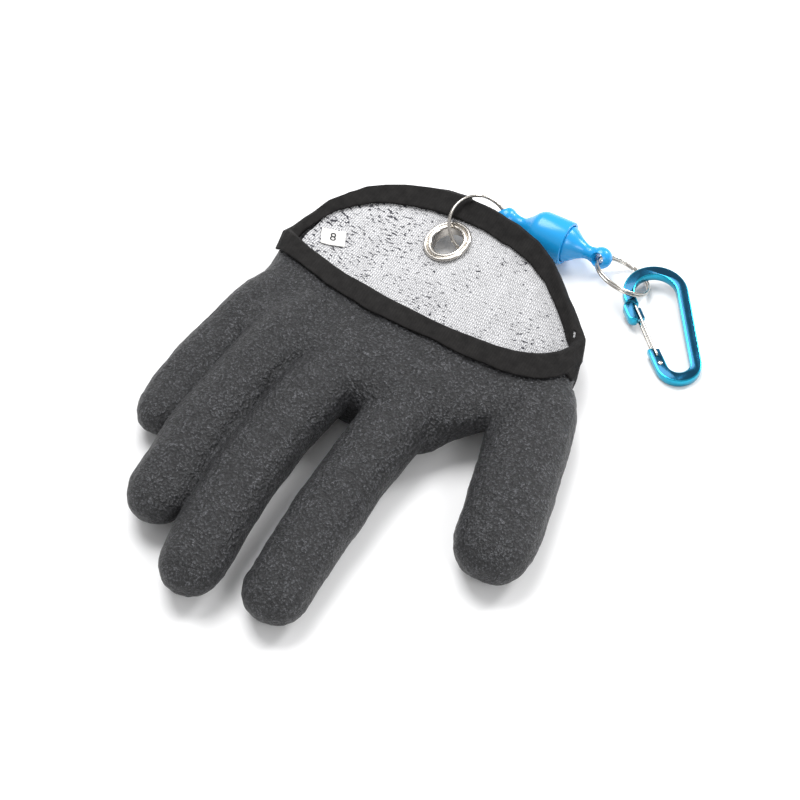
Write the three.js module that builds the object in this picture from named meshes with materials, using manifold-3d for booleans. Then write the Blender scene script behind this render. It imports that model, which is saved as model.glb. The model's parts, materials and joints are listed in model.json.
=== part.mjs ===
// A fishing glove lying palm up, with a magnetic release and a small clip on two split rings.
// Millimetres, +Z up. The fingers point to -Y, the cuff opens to +Y and the thumb is on the +X side.
import * as THREE from 'three';
import Module from 'manifold-3d';
import { mergeVertices } from 'three/addons/utils/BufferGeometryUtils.js';

const wasm = await Module();
wasm.setup();

// Hand
const HAND_WIDTH = 122.6;
const HAND_LENGTH = 141;
const PALM_HEIGHT = 24;
const PALM_DEPTH = 44;
const FINGER_WIDTH = 24.8;
const FINGER_DEPTH = 19;
const FLAP_REACH = 70;
const LATEX_WALL = 1;
const END_WALLS = 2;
const KNIT_WALL = 1;
const DIGIT_WALL = 2;
const LINER_START = 0.3;
const LATHE_SIDES = 16;
const WIRE_SIDES = 5;
const RING_STEPS = 18;
const CLOTH_GAP = 0.3;
const AROUND = 40;
const FOLD_EASE = 4;
const DIGIT_SIDES = 14;
const ROOM_SIDES = 10;
const MERGE_DISTANCE = 1e-4;

// Binding tape
const TAPE_WIDTH = 9.8;
const TAPE_GAP = 0.5;
const TAPE_BEND_LIMIT = 0.85;
const TAPE_WALL = 1;
const TAPE_LAP_RISE = 0.7;
const TAPE_LAP_START = 0.775;
const TAPE_LAP_END = 0.8;
const TAPE_LAP_STEP = 0.001;

// Size label
const LABEL_LENGTH = 9.5;
const LABEL_WIDTH = 7;
const LABEL_WALL = 0.4;
const LABEL_ROWS = 4;

// Eyelet in the flap
const EYELET_HOLE_RADIUS = 6.2;
const EYELET_FLANGE_RADIUS = 9.4;
const EYELET_WALL = 0.6;
const EYELET_FLANGE_RISE = 1;
const EYELET_SETBACK = 23.2;
const WASHER_WALL = 0.6;
const WASHER_INSET = 0.3;
const HARDWARE_GAP = 0.3;

// Split rings
const RING_WIRE = 1;
const RING_PITCH = 1.15;
const RING_TURNS = 2;
const INNER_RING_RADIUS = 12;
const OUTER_RING_RADIUS = 11;
const INNER_RING_START = 0.18;
const OUTER_RING_START = 0.3;

// Magnetic release
const EYE_RADIUS = 4.2;
const EYE_HOLE_RADIUS = 1.9;
const NECK_RADIUS = 2.6;
const CUP_RADIUS = 8.5;
const CUP_WALL = 1.2;
const CUP_LENGTH = 12.7;
const CUP_FROM_EYE = 13.8;
const BORE_DEPTH = 9;
const EYE_SPACING = 40.6;
const MAGNET_WALL = 2.5;
const NECK_LENGTH = 2.4;
const NECK_FLARE = 0.4;
const SHOULDER_LENGTH = 5.2;
const SHOULDER_TURN = { radius: 0.8, before: 1.2, after: 0.4 };
const CUP_LIP = 0.3;
const PLUG_COLLAR = 0.6;
const PLUG_NECK_FROM_EYE = 5.6;

// Clip
const CLIP_BIG_RADIUS = 12.3;
const CLIP_SMALL_RADIUS = 8.7;
const CLIP_SPACING = 33;
const CLIP_BAR = 4.4;
const CLIP_THICKNESS = 3.6;
const CLIP_CHAMFER = 0.6;
const CLIP_LIFT = THREE.MathUtils.degToRad(4.2);
const GATE_WIRE = 1.1;
const GATE_SIDES = 6;

// Shares of the hand's width, length and height; the cuff's middle is 0, 0
const RIM = [
  { across: -1.02, along: 0.231, height: 0.47 },
  { across: -0.938, along: 0.168, height: 0.68 },
  { across: -0.758, along: 0.114, height: 0.745 },
  { across: -0.463, along: 0.031, height: 0.86 },
  { across: 0, along: -0.017, height: 0.98 },
  { across: 0.463, along: -0.014, height: 1 },
  { across: 0.758, along: 0.023, height: 1 },
  { across: 0.938, along: 0.12, height: 0.97 },
  { across: 1, along: 0.335, height: 0.75 },
  { across: 0.945, along: 0.43, height: 0.63 },
  { across: 0.758, along: 0.59, height: 0.57 },
  { across: 0.463, along: 0.808, height: 0.56 },
  { across: 0, along: 0.93, height: 0.5 },
  { across: -0.463, along: 0.95, height: 0.25 },
  { across: -0.758, along: 0.839, height: 0.21 },
  { across: -0.938, along: 0.617, height: 0.29 },
];

// Sections of the palm from the finger end, at 0, to the rim, at 1: sides as shares of half the width,
// top and base as shares of the height, and how far its outline and its height have become the rim's
const PALM = [
  { along: 0, left: -0.87, right: 0.6, top: 0.62, base: 0.15, rim: 0, lift: 0 },
  { along: 0.05, left: -0.91, right: 0.65, top: 0.8, base: 0.04, rim: 0, lift: 0 },
  { along: 0.14, left: -0.93, right: 0.7, top: 0.94, base: -0.03, rim: 0, lift: 0 },
  { along: 0.3, left: -0.93, right: 0.84, top: 1.01, base: -0.035, rim: 0.02, lift: 0.02 },
  { along: 0.48, left: -0.93, right: 1.05, top: 1.02, base: -0.035, rim: 0.06, lift: 0.1 },
  { along: 0.64, left: -0.93, right: 1.14, top: 1.01, base: -0.035, rim: 0.2, lift: 0.36 },
  { along: 0.77, left: -0.94, right: 1.11, top: 1, base: -0.035, rim: 0.45, lift: 0.6 },
  { along: 0.89, left: -0.97, right: 1.06, top: 1, base: -0.035, rim: 0.74, lift: 0.82 },
  { along: 1, left: -1, right: 1, top: 1, base: -0.035, rim: 1, lift: 1 },
];

// Tip, middle and root of each digit as shares of the hand's width, length and height
const DIGITS = [
  {
    name: 'little',
    tip: [-0.405, -0.622, 0.375],
    middle: [-0.425, -0.345, 0.395],
    root: [-0.375, -0.057, 0.52],
    width: 0.88,
    depth: 0.9,
  },
  {
    name: 'ring',
    tip: [-0.225, -0.862, 0.415],
    middle: [-0.261, -0.496, 0.6],
    root: [-0.237, -0.085, 0.62],
    width: 1,
    depth: 0.97,
  },
  {
    name: 'middle',
    tip: [0.006, -0.99, 0.43],
    middle: [-0.062, -0.567, 0.625],
    root: [-0.034, -0.1, 0.64],
    width: 1.03,
    depth: 1,
  },
  {
    name: 'index',
    tip: [0.247, -0.95, 0.415],
    middle: [0.2, -0.546, 0.52],
    root: [0.202, -0.1, 0.61],
    width: 1.02,
    depth: 1,
  },
  {
    name: 'thumb',
    tip: [0.684, -0.565, 0.47],
    middle: [0.588, -0.27, 0.49],
    root: [0.478, 0, 0.52],
    width: 1.24,
    depth: 1.12,
  },
];

// Sections of a digit from its tip to its root
const DIGIT_SECTIONS = [
  { along: 0.24, width: 0.98, depth: 0.98 },
  { along: 0.4, width: 1, depth: 1 },
  { along: 0.58, width: 0.98, depth: 1 },
  { along: 0.74, width: 1.01, depth: 1.04 },
  { along: 0.88, width: 1.02, depth: 1.06 },
  { along: 1, width: 0.86, depth: 0.9 },
];
const TIP_ANGLES = [16, 36, 58, 80];
const TIP_LENGTH = 0.55;
const TIP_WIDTH = 0.97;
const TIP_DEPTH = 0.95;
const TIP_ROUNDING = 0.85;
const LEAST_HALF_SIZE = 0.5;
const DIGIT_SQUARENESS = 2.3;
const PALM_SQUARENESS = 2.5;

const vector = (x, y, z) => new THREE.Vector3(x, y, z);
const UP = vector(0, 0, 1);
const finish = (color, roughness, metalness) => new THREE.MeshStandardMaterial({ color, roughness, metalness });
const LATEX = finish(0x2b2c30, 0.72, 0);
const KNIT = finish(0xc9c9cc, 0.95, 0);
const TAPE = finish(0x1b1b1d, 0.9, 0);
const LABEL = finish(0xf1f0ee, 0.85, 0);
const STEEL = finish(0xc9c6c2, 0.22, 1);
const RELEASE_BLUE = finish(0x1093dc, 0.2, 0);
const ANODISED = finish(0x0d73a8, 0.28, 0.9);

// Rings of points joined into one closed body, with its ends filled or its last ring met by its first
function loft(rings, endless = false) {
  const count = rings[0].length;
  const points = rings.flat();
  const index = [];
  const bands = endless ? rings.length : rings.length - 1;
  for (let band = 0; band < bands; band += 1) {
    const near = band * count;
    const far = ((band + 1) % rings.length) * count;
    for (let side = 0; side < count; side += 1) {
      const next = (side + 1) % count;
      index.push(near + side, far + side, far + next, near + side, far + next, near + next);
    }
  }
  if (!endless) {
    const fill = (ring, start, flip) => {
      const middle = ring.reduce((sum, p) => sum.add(p), vector(0, 0, 0)).divideScalar(count);
      points.push(middle);
      for (let side = 0; side < count; side += 1) {
        const edge = [start + side, start + ((side + 1) % count)];
        index.push(points.length - 1, ...(flip ? edge.reverse() : edge));
      }
    };
    fill(rings[0], 0, false);
    fill(rings.at(-1), (rings.length - 1) * count, true);
  }
  const geometry = new THREE.BufferGeometry().setFromPoints(points);
  geometry.setIndex(index);
  return facingOut(geometry);
}

function facingOut(geometry) {
  const { array } = geometry.index;
  const at = (k) => vector().fromBufferAttribute(geometry.attributes.position, array[k]);
  let volume = 0;
  for (let k = 0; k < array.length; k += 3) {
    volume += at(k).dot(at(k + 1).cross(at(k + 2)));
  }
  if (volume < 0) {
    array.reverse();
  }
  return geometry;
}

function toSolid(geometry) {
  const plain = geometry.clone();
  plain.deleteAttribute('normal');
  plain.deleteAttribute('uv');
  const merged = facingOut(mergeVertices(plain, MERGE_DISTANCE));
  return new wasm.Manifold(new wasm.Mesh({
    numProp: 3,
    vertProperties: new Float32Array(merged.attributes.position.array),
    triVerts: new Uint32Array(merged.index.array),
  }));
}

function toGeometry(solid) {
  const mesh = solid.getMesh();
  const geometry = new THREE.BufferGeometry();
  geometry.setAttribute('position', new THREE.BufferAttribute(new Float32Array(mesh.vertProperties), 3));
  geometry.setIndex(new THREE.BufferAttribute(new Uint32Array(mesh.triVerts), 1));
  return geometry;
}

const join = (geometries) => toGeometry(geometries.map(toSolid).reduce((sum, solid) => sum.add(solid)));
const cut = (geometry, cutters) =>
  toGeometry(cutters.map(toSolid).reduce((rest, cutter) => rest.subtract(cutter), toSolid(geometry)));

// A wire swept along a list of points, round in section
function wire(points, radius, sides, axis) {
  const rings = points.map((point, k) => {
    const before = points[Math.max(k - 1, 0)];
    const after = points[Math.min(k + 1, points.length - 1)];
    const along = after.clone().sub(before).normalize();
    const side = axis.clone().cross(along).normalize();
    const up = along.clone().cross(side);
    return Array.from({ length: sides }, (_, n) => {
      const angle = (2 * Math.PI * n) / sides;
      return point.clone()
        .addScaledVector(side, radius * Math.cos(angle))
        .addScaledVector(up, radius * Math.sin(angle));
    });
  });
  return loft(rings);
}

const power = (value, squareness) => Math.sign(value) * Math.abs(value) ** (2 / squareness);

// The palm's outer face: the rim is a curve through its points, the rest blends from sections to it
const rimCurve = new THREE.CatmullRomCurve3(
  RIM.map(({ across, along, height }) =>
    vector((across * HAND_WIDTH) / 2, along * FLAP_REACH, height * PALM_HEIGHT)),
  true,
  'centripetal',
);
const palmStart = -PALM_DEPTH;

function palmRow(row) {
  return Array.from({ length: AROUND }, (_, k) => {
    const turn = k / AROUND;
    const angle = 2 * Math.PI * turn;
    const rim = rimCurve.getPoint(turn);
    const middle = ((row.left + row.right) / 2) * (HAND_WIDTH / 2);
    const half = ((row.right - row.left) / 2) * (HAND_WIDTH / 2);
    const round = -power(Math.cos(angle), PALM_SQUARENESS);
    const across = THREE.MathUtils.lerp(round, rim.x / (HAND_WIDTH / 2), row.rim);
    const centre = ((row.top + row.base) / 2) * PALM_HEIGHT;
    const rise = ((row.top - row.base) / 2) * PALM_HEIGHT;
    const bulge = centre + rise * power(Math.sin(angle), PALM_SQUARENESS);
    const height = THREE.MathUtils.lerp(bulge, rim.z, row.lift);
    return vector(
      middle + half * across,
      THREE.MathUtils.lerp(palmStart, rim.y, row.along),
      Math.max(height, 0),
    );
  });
}

const palmFace = PALM.map(palmRow);

// Outward direction at each point of the palm's face, from its neighbours
const sharpNormals = palmFace.map((ring, r) => ring.map((point, k) => {
  const around = ring[(k + 1) % AROUND].clone().sub(ring[(k + AROUND - 1) % AROUND]);
  const before = palmFace[Math.max(r - 1, 0)][k];
  const after = palmFace[Math.min(r + 1, palmFace.length - 1)][k];
  return around.cross(after.clone().sub(before)).normalize();
}));

// The same directions eased along the ring, so that the layers inside the two folds don't cross
const eased = (ring) => ring.map((normal, k) => normal.clone().multiplyScalar(2)
  .add(ring[(k + 1) % AROUND])
  .add(ring[(k + AROUND - 1) % AROUND])
  .normalize());
const palmNormals = Array.from({ length: FOLD_EASE })
  .reduce((normals) => normals.map(eased), sharpNormals);

const palmInset = (depth, first = 0) =>
  palmFace.slice(first).map((ring, r) =>
    ring.map((point, k) => point.clone().addScaledVector(palmNormals[r + first][k], -depth)));

// A point of the cloth at a place round the rim, a distance from the rim along the face and a depth into it
function clothPoint(place, fromRim, depth) {
  const k = Math.floor(place);
  if (place > k) {
    return clothPoint(k, fromRim, depth).lerp(clothPoint((k + 1) % AROUND, fromRim, depth), place - k);
  }
  const path = palmFace.map((ring) => ring[k]).reverse();
  const normals = palmNormals.map((ring) => ring[k]).slice().reverse();
  let rest = fromRim;
  let step = 0;
  let span = path[0].distanceTo(path[1]);
  while (rest > span && step < path.length - 2) {
    rest -= span;
    step += 1;
    span = path[step].distanceTo(path[step + 1]);
  }
  const share = rest / span;
  const face = path[step].clone().lerp(path[step + 1], share);
  const normal = normals[step].clone().lerp(normals[step + 1], share).normalize();
  return face.addScaledVector(normal, -depth);
}

// One digit's sections, its wall inset from the outer face
function digitRings(digit, inset, sides = DIGIT_SIDES) {
  const place = ([across, along, height]) =>
    vector(across * HAND_WIDTH, along * HAND_LENGTH, height * PALM_HEIGHT);
  const tip = place(digit.tip);
  const middle = place(digit.middle);
  const root = place(digit.root);
  const bend = middle.multiplyScalar(2).sub(tip.clone().add(root).multiplyScalar(0.5));
  const line = new THREE.QuadraticBezierCurve3(tip, bend, root);
  const length = line.getLength();
  const halfWidth = (digit.width * FINGER_WIDTH) / 2;
  const halfDepth = (digit.depth * FINGER_DEPTH) / 2;
  const tipReach = TIP_LENGTH * halfWidth * 2;
  const rows = [
    ...TIP_ANGLES.map((degrees) => {
      const angle = THREE.MathUtils.degToRad(degrees);
      return {
        along: (inset + (tipReach - inset) * (1 - Math.cos(angle))) / length,
        width: TIP_WIDTH * Math.sin(angle) ** TIP_ROUNDING,
        depth: TIP_DEPTH * Math.sin(angle) ** TIP_ROUNDING,
      };
    }),
    ...DIGIT_SECTIONS,
  ];
  return rows.map((row) => {
    const centre = line.getPointAt(row.along);
    const along = line.getTangentAt(row.along);
    const side = along.clone().cross(UP).normalize();
    const up = side.clone().cross(along).normalize();
    const tall = Math.max(halfDepth * row.depth - inset, LEAST_HALF_SIZE);
    const wide = Math.max(halfWidth * row.width - inset, LEAST_HALF_SIZE);
    return Array.from({ length: sides }, (_, k) => {
      const angle = (2 * Math.PI * k) / sides;
      const point = centre.clone()
        .addScaledVector(side, wide * power(Math.cos(angle), DIGIT_SQUARENESS))
        .addScaledVector(up, tall * power(Math.sin(angle), DIGIT_SQUARENESS));
      point.z = Math.max(point.z, inset);
      return point;
    });
  });
}

const clothStack = LATEX_WALL + CLOTH_GAP + KNIT_WALL;

// Where a point of plan lies on the flap's outer face
function flapSeat(x, y) {
  const corners = [];
  for (let r = 0; r < palmFace.length - 1; r += 1) {
    for (let k = AROUND / 2; k < AROUND; k += 1) {
      const next = (k + 1) % AROUND;
      corners.push([palmFace[r][k], palmFace[r + 1][k], palmFace[r + 1][next]]);
      corners.push([palmFace[r][k], palmFace[r + 1][next], palmFace[r][next]]);
    }
  }
  for (const [a, b, c] of corners) {
    const flat = new THREE.Triangle(vector(a.x, a.y, 0), vector(b.x, b.y, 0), vector(c.x, c.y, 0));
    const share = flat.getBarycoord(vector(x, y, 0), vector());
    if (share && Math.min(share.x, share.y, share.z) >= 0) {
      const point = vector(x, y, a.z * share.x + b.z * share.y + c.z * share.z);
      const normal = b.clone().sub(a).cross(c.clone().sub(a)).normalize();
      return { point, up: normal.multiplyScalar(Math.sign(normal.z)) };
    }
  }
  return null;
}

// Eyelet: its seat is on the flap, a set distance in from the furthest edge
const EYELET_ACROSS = -9.1;
const eyeletSeat = flapSeat(EYELET_ACROSS, FLAP_REACH - EYELET_SETBACK);
const eyeletTurn = new THREE.Quaternion().setFromUnitVectors(UP, eyeletSeat.up);
const onEyelet = (geometry) => geometry.applyQuaternion(eyeletTurn)
  .translate(eyeletSeat.point.x, eyeletSeat.point.y, eyeletSeat.point.z);

function turned(profile, segments = LATHE_SIDES) {
  const points = profile.map(([radius, height]) => new THREE.Vector2(radius, height));
  const lathe = new THREE.LatheGeometry([...points, points[0]], segments);
  lathe.deleteAttribute('normal');
  lathe.deleteAttribute('uv');
  return facingOut(mergeVertices(lathe.rotateX(Math.PI / 2), MERGE_DISTANCE));
}

const barrelRadius = EYELET_HOLE_RADIUS + EYELET_WALL;
const flangeBase = clothStack + HARDWARE_GAP;
const washerTop = -HARDWARE_GAP;
const washerBase = washerTop - WASHER_WALL;

// The rolled flange from its hole outward: shares of its width and of its rise
const FLANGE_ROLL = [
  { out: 0, rise: 0.8 },
  { out: 0.19, rise: 1 },
  { out: 0.47, rise: 0.75 },
  { out: 0.59, rise: 1 },
  { out: 1, rise: 0.4 },
  { out: 0.94, rise: 0 },
];
const flangeWidth = EYELET_FLANGE_RADIUS - EYELET_HOLE_RADIUS;
const eyeletProfile = [
  ...FLANGE_ROLL.map(({ out, rise }) =>
    [EYELET_HOLE_RADIUS + out * flangeWidth, flangeBase + rise * EYELET_FLANGE_RISE]),
  [barrelRadius, flangeBase],
  [barrelRadius, washerBase],
  [EYELET_HOLE_RADIUS, washerBase],
];
const washerProfile = [
  [barrelRadius + HARDWARE_GAP, washerTop],
  [EYELET_FLANGE_RADIUS - WASHER_INSET, washerTop],
  [EYELET_FLANGE_RADIUS - WASHER_INSET, washerBase],
  [barrelRadius + HARDWARE_GAP, washerBase],
];
// The room that the eyelet needs in the cloth
const clearRadius = EYELET_FLANGE_RADIUS + HARDWARE_GAP;
const clearReach = 4;
const eyeletRoom = [
  [0, clothStack + clearReach],
  [clearRadius, clothStack + clearReach],
  [clearRadius, clothStack],
  [barrelRadius + HARDWARE_GAP, clothStack],
  [barrelRadius + HARDWARE_GAP, 0],
  [clearRadius, 0],
  [clearRadius, -clearReach],
  [0, -clearReach],
];

// How far the last section lies from the rim at a place round it, where the tape has its bend
function lastSpan(place) {
  const k = Math.floor(place);
  const spans = [k, (k + 1) % AROUND].map((n) => palmFace.at(-1)[n].distanceTo(palmFace.at(-2)[n]));
  return THREE.MathUtils.lerp(spans[0], spans[1], place - k);
}

// A point of the rim moved out past the edge, and to a depth in the cloth
function pastRim(place, reach, depth) {
  const away = clothPoint(place, 0, 0).sub(clothPoint(place, lastSpan(place), 0)).normalize();
  return clothPoint(place, 0, depth).addScaledVector(away, reach);
}

// The palm's inside for a wall of a given thickness, doubled at the finger end
function insideRings(wall) {
  const rings = palmInset(wall);
  rings[0].forEach((point) => {
    point.y += END_WALLS * wall;
  });
  return rings;
}

// The digits' roots end in the middle of the palm's wall
function latexShell() {
  const palm = loft([...palmFace, ...insideRings(LATEX_WALL).reverse()]);
  const room = loft(insideRings(LATEX_WALL / 2));
  const outside = DIGITS.map((digit) => cut(loft(digitRings(digit, 0)), [room]));
  const inside = DIGITS.map((digit) => loft(digitRings(digit, DIGIT_WALL, ROOM_SIDES)));
  return cut(join([palm, ...outside]), [...inside, onEyelet(turned(eyeletRoom))]);
}

const linerFirst = PALM.findIndex(({ along }) => along >= LINER_START);

function knitLiner() {
  const outer = palmInset(LATEX_WALL + CLOTH_GAP, linerFirst);
  const inner = palmInset(clothStack, linerFirst);
  const thumb = loft(digitRings(DIGITS.at(-1), DIGIT_WALL));
  return cut(loft([...inner, ...outer.reverse()], true), [thumb, onEyelet(turned(eyeletRoom))]);
}

function cuffBinding() {
  const lapPlaces = [TAPE_LAP_START - TAPE_LAP_STEP, TAPE_LAP_START, TAPE_LAP_END].map((turn) => turn * AROUND);
  const places = [...Array(AROUND).keys(), ...lapPlaces].sort((a, b) => a - b);
  const near = TAPE_GAP;
  const rings = places.map((place) => {
    const lapped = place >= TAPE_LAP_START * AROUND && place <= TAPE_LAP_END * AROUND;
    const far = near + TAPE_WALL + (lapped ? TAPE_LAP_RISE : 0);
    const bend = Math.min(lastSpan(place), TAPE_WIDTH * TAPE_BEND_LIMIT);
    return [
      clothPoint(place, TAPE_WIDTH, -far),
      pastRim(place, 0, -far),
      pastRim(place, far, 0),
      pastRim(place, far, clothStack),
      pastRim(place, 0, clothStack + far),
      clothPoint(place, TAPE_WIDTH, clothStack + far),
      clothPoint(place, TAPE_WIDTH, clothStack + near),
      clothPoint(place, bend, clothStack + near),
      pastRim(place, near, clothStack + near),
      pastRim(place, near, -near),
      clothPoint(place, bend, -near),
      clothPoint(place, TAPE_WIDTH, -near),
    ];
  });
  // Deep in the two folds the layers meet, and there the tape gives way to the cloth
  return cut(loft(rings, true), [latexShell(), knitLiner()]);
}

const LABEL_ACROSS = -48.5;
const LABEL_ALONG = 26;
const LABEL_TURN = THREE.MathUtils.degToRad(28);

function sizeLabel() {
  const rows = LABEL_ROWS;
  const top = [];
  const base = [];
  for (let r = 0; r < rows; r += 1) {
    for (let c = 0; c < rows; c += 1) {
      const spot = new THREE.Vector2(
        (c / (rows - 1) - 0.5) * LABEL_LENGTH,
        (r / (rows - 1) - 0.5) * LABEL_WIDTH,
      ).rotateAround(new THREE.Vector2(0, 0), LABEL_TURN);
      const seat = flapSeat(LABEL_ACROSS + spot.x, LABEL_ALONG + spot.y);
      base.push(seat.point.clone().addScaledVector(seat.up, clothStack + HARDWARE_GAP));
      top.push(seat.point.clone().addScaledVector(seat.up, clothStack + HARDWARE_GAP + LABEL_WALL));
    }
  }
  const index = [];
  const at = (r, c) => r * rows + c;
  const quad = (a, b, c, d) => index.push(a, b, c, a, c, d);
  for (let r = 0; r < rows - 1; r += 1) {
    for (let c = 0; c < rows - 1; c += 1) {
      const lift = base.length;
      quad(at(r, c), at(r, c + 1), at(r + 1, c + 1), at(r + 1, c));
      quad(at(r, c) + lift, at(r + 1, c) + lift, at(r + 1, c + 1) + lift, at(r, c + 1) + lift);
    }
  }
  for (let n = 0; n < rows - 1; n += 1) {
    const lift = base.length;
    const last = rows - 1;
    quad(at(0, n), at(0, n) + lift, at(0, n + 1) + lift, at(0, n + 1));
    quad(at(last, n), at(last, n + 1), at(last, n + 1) + lift, at(last, n) + lift);
    quad(at(n, 0), at(n + 1, 0), at(n + 1, 0) + lift, at(n, 0) + lift);
    quad(at(n, last), at(n, last) + lift, at(n + 1, last) + lift, at(n + 1, last));
  }
  const geometry = new THREE.BufferGeometry().setFromPoints([...base, ...top]);
  geometry.setIndex(index);
  return facingOut(geometry);
}

// A split ring: a helix of wire in the plane of two directions about its centre
function splitRing(radius, centre, first, second, startTurn) {
  const steps = RING_STEPS * RING_TURNS;
  const axis = first.clone().cross(second).normalize();
  const points = Array.from({ length: steps + 1 }, (_, k) => {
    const turn = (k / steps) * RING_TURNS;
    const angle = 2 * Math.PI * (turn + startTurn);
    return centre.clone()
      .addScaledVector(first, radius * Math.cos(angle))
      .addScaledVector(second, radius * Math.sin(angle))
      .addScaledVector(axis, (turn - RING_TURNS / 2) * RING_PITCH);
  });
  return wire(points, RING_WIRE / 2, WIRE_SIDES, axis);
}

// The inner ring runs from the eyelet's hole to the release's eye
const RING_HEADING = THREE.MathUtils.degToRad(67);
const RING_ROLL = THREE.MathUtils.degToRad(35);
const RING_CHORD = 0.985;
const RING_IN_HOLE = 1.2;
const RING_ASIDE = 2.65;
const holePoint = eyeletSeat.point.clone()
  .addScaledVector(eyeletSeat.up, clothStack / 2)
  .add(vector(RING_ASIDE, RING_IN_HOLE, 0));
const ringChord = 2 * INNER_RING_RADIUS * RING_CHORD;
const eyeRise = CUP_RADIUS - holePoint.z;
const eyeReach = Math.sqrt(ringChord ** 2 - eyeRise ** 2);
const heading = vector(Math.cos(RING_HEADING), Math.sin(RING_HEADING), 0);
const firstEye = holePoint.clone().addScaledVector(heading, eyeReach);
firstEye.z = CUP_RADIUS;
const chordLine = firstEye.clone().sub(holePoint).normalize();
const level = UP.clone().cross(chordLine).normalize();
const steep = chordLine.clone().cross(level).normalize();
const upperSide = level.clone().multiplyScalar(Math.cos(RING_ROLL))
  .addScaledVector(steep, Math.sin(RING_ROLL));
const ringOffset = Math.sqrt(INNER_RING_RADIUS ** 2 - (ringChord / 2) ** 2);
const innerRingCentre = holePoint.clone().add(firstEye).multiplyScalar(0.5)
  .addScaledVector(upperSide, ringOffset);

const innerRingTangent = firstEye.clone().sub(innerRingCentre)
  .cross(chordLine.clone().cross(upperSide)).normalize();

// The release lies along its own axis from the first eye
const RELEASE_HEADING = THREE.MathUtils.degToRad(2.5);
const releaseLine = vector(Math.cos(RELEASE_HEADING), Math.sin(RELEASE_HEADING), 0);
const releaseTurn = new THREE.Quaternion().setFromUnitVectors(UP, releaseLine);
const onRelease = (geometry) => geometry.applyQuaternion(releaseTurn)
  .translate(firstEye.x, firstEye.y, firstEye.z);
const secondEye = firstEye.clone().addScaledVector(releaseLine, EYE_SPACING);

const EYE_ANGLES = [180, 140, 100, 60, 38];
const boreRadius = CUP_RADIUS - CUP_WALL;
const boreEnd = CUP_FROM_EYE + CUP_LENGTH;
const boreStart = boreEnd - BORE_DEPTH;
const magnetRadius = boreRadius - HARDWARE_GAP * 2;
const plugRadius = boreRadius - HARDWARE_GAP;
const cupMagnetStart = boreStart + HARDWARE_GAP;
const plugMagnetStart = cupMagnetStart + MAGNET_WALL + HARDWARE_GAP;
const plugStart = plugMagnetStart + MAGNET_WALL + HARDWARE_GAP;

// The ball of an eye in profile, from its pole on the axis to where the neck meets it
function eyeProfile(centre, sign) {
  return EYE_ANGLES.map((degrees) => {
    const angle = THREE.MathUtils.degToRad(degrees);
    const radius = degrees === 180 ? 0 : EYE_RADIUS * Math.sin(angle);
    return [radius, centre + sign * EYE_RADIUS * Math.cos(angle)];
  });
}

function eyeHole(centre, direction) {
  const hole = new THREE.CylinderGeometry(EYE_HOLE_RADIUS, EYE_HOLE_RADIUS, EYE_RADIUS * 4, 10);
  return hole.applyQuaternion(new THREE.Quaternion().setFromUnitVectors(vector(0, 1, 0), direction))
    .translate(centre.x, centre.y, centre.z);
}

function releaseCup() {
  const shoulder = CUP_FROM_EYE - SHOULDER_LENGTH;
  const body = onRelease(turned([
    ...eyeProfile(0, 1),
    [NECK_RADIUS, shoulder - NECK_LENGTH],
    [NECK_RADIUS + NECK_FLARE, shoulder],
    [CUP_RADIUS - SHOULDER_TURN.radius, CUP_FROM_EYE - SHOULDER_TURN.before],
    [CUP_RADIUS, CUP_FROM_EYE + SHOULDER_TURN.after],
    [CUP_RADIUS, boreEnd - CUP_LIP],
    [CUP_RADIUS - CUP_LIP, boreEnd],
    [boreRadius, boreEnd],
    [boreRadius, boreStart],
    [0, boreStart],
  ]));
  return cut(body, [eyeHole(firstEye, innerRingTangent)]);
}

// The plug's cone from its collar to its neck: shares of the plug's radius and of the cone's length
const PLUG_CONE = [
  { radius: 1, along: 0 },
  { radius: 0.78, along: 0.3 },
  { radius: 0.52, along: 0.65 },
];

function releasePlug() {
  const cone = boreEnd + PLUG_COLLAR;
  const neck = EYE_SPACING - PLUG_NECK_FROM_EYE;
  const body = onRelease(turned([
    [0, plugStart],
    [plugRadius, plugStart],
    ...PLUG_CONE.map(({ radius, along }) => [plugRadius * radius, cone + (neck - cone) * along]),
    [NECK_RADIUS, neck],
    ...eyeProfile(EYE_SPACING, -1).reverse(),
  ]));
  return cut(body, [eyeHole(secondEye, outerRingTangent)]);
}

const magnet = (start) => onRelease(turned([
  [0, start],
  [magnetRadius, start],
  [magnetRadius, start + MAGNET_WALL],
  [0, start + MAGNET_WALL],
]));

// The outer ring leans from the plug's eye down under the clip's big end
const OUTER_RING_SLOPE_X = 0.27;
const OUTER_RING_SLOPE_Y = 0.53;
const OUTER_RING_ASIDE = -0.12;
const outerAxis = vector(OUTER_RING_SLOPE_X, OUTER_RING_SLOPE_Y, 1).normalize();
const outerHeading = vector(1, OUTER_RING_ASIDE, 0);
const outerFirst = outerHeading.clone().addScaledVector(outerAxis, -outerAxis.dot(outerHeading)).normalize();
const outerSecond = outerAxis.clone().cross(outerFirst);
const outerRingCentre = secondEye.clone().addScaledVector(outerFirst, OUTER_RING_RADIUS);
const outerRingTangent = outerSecond.clone();

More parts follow.
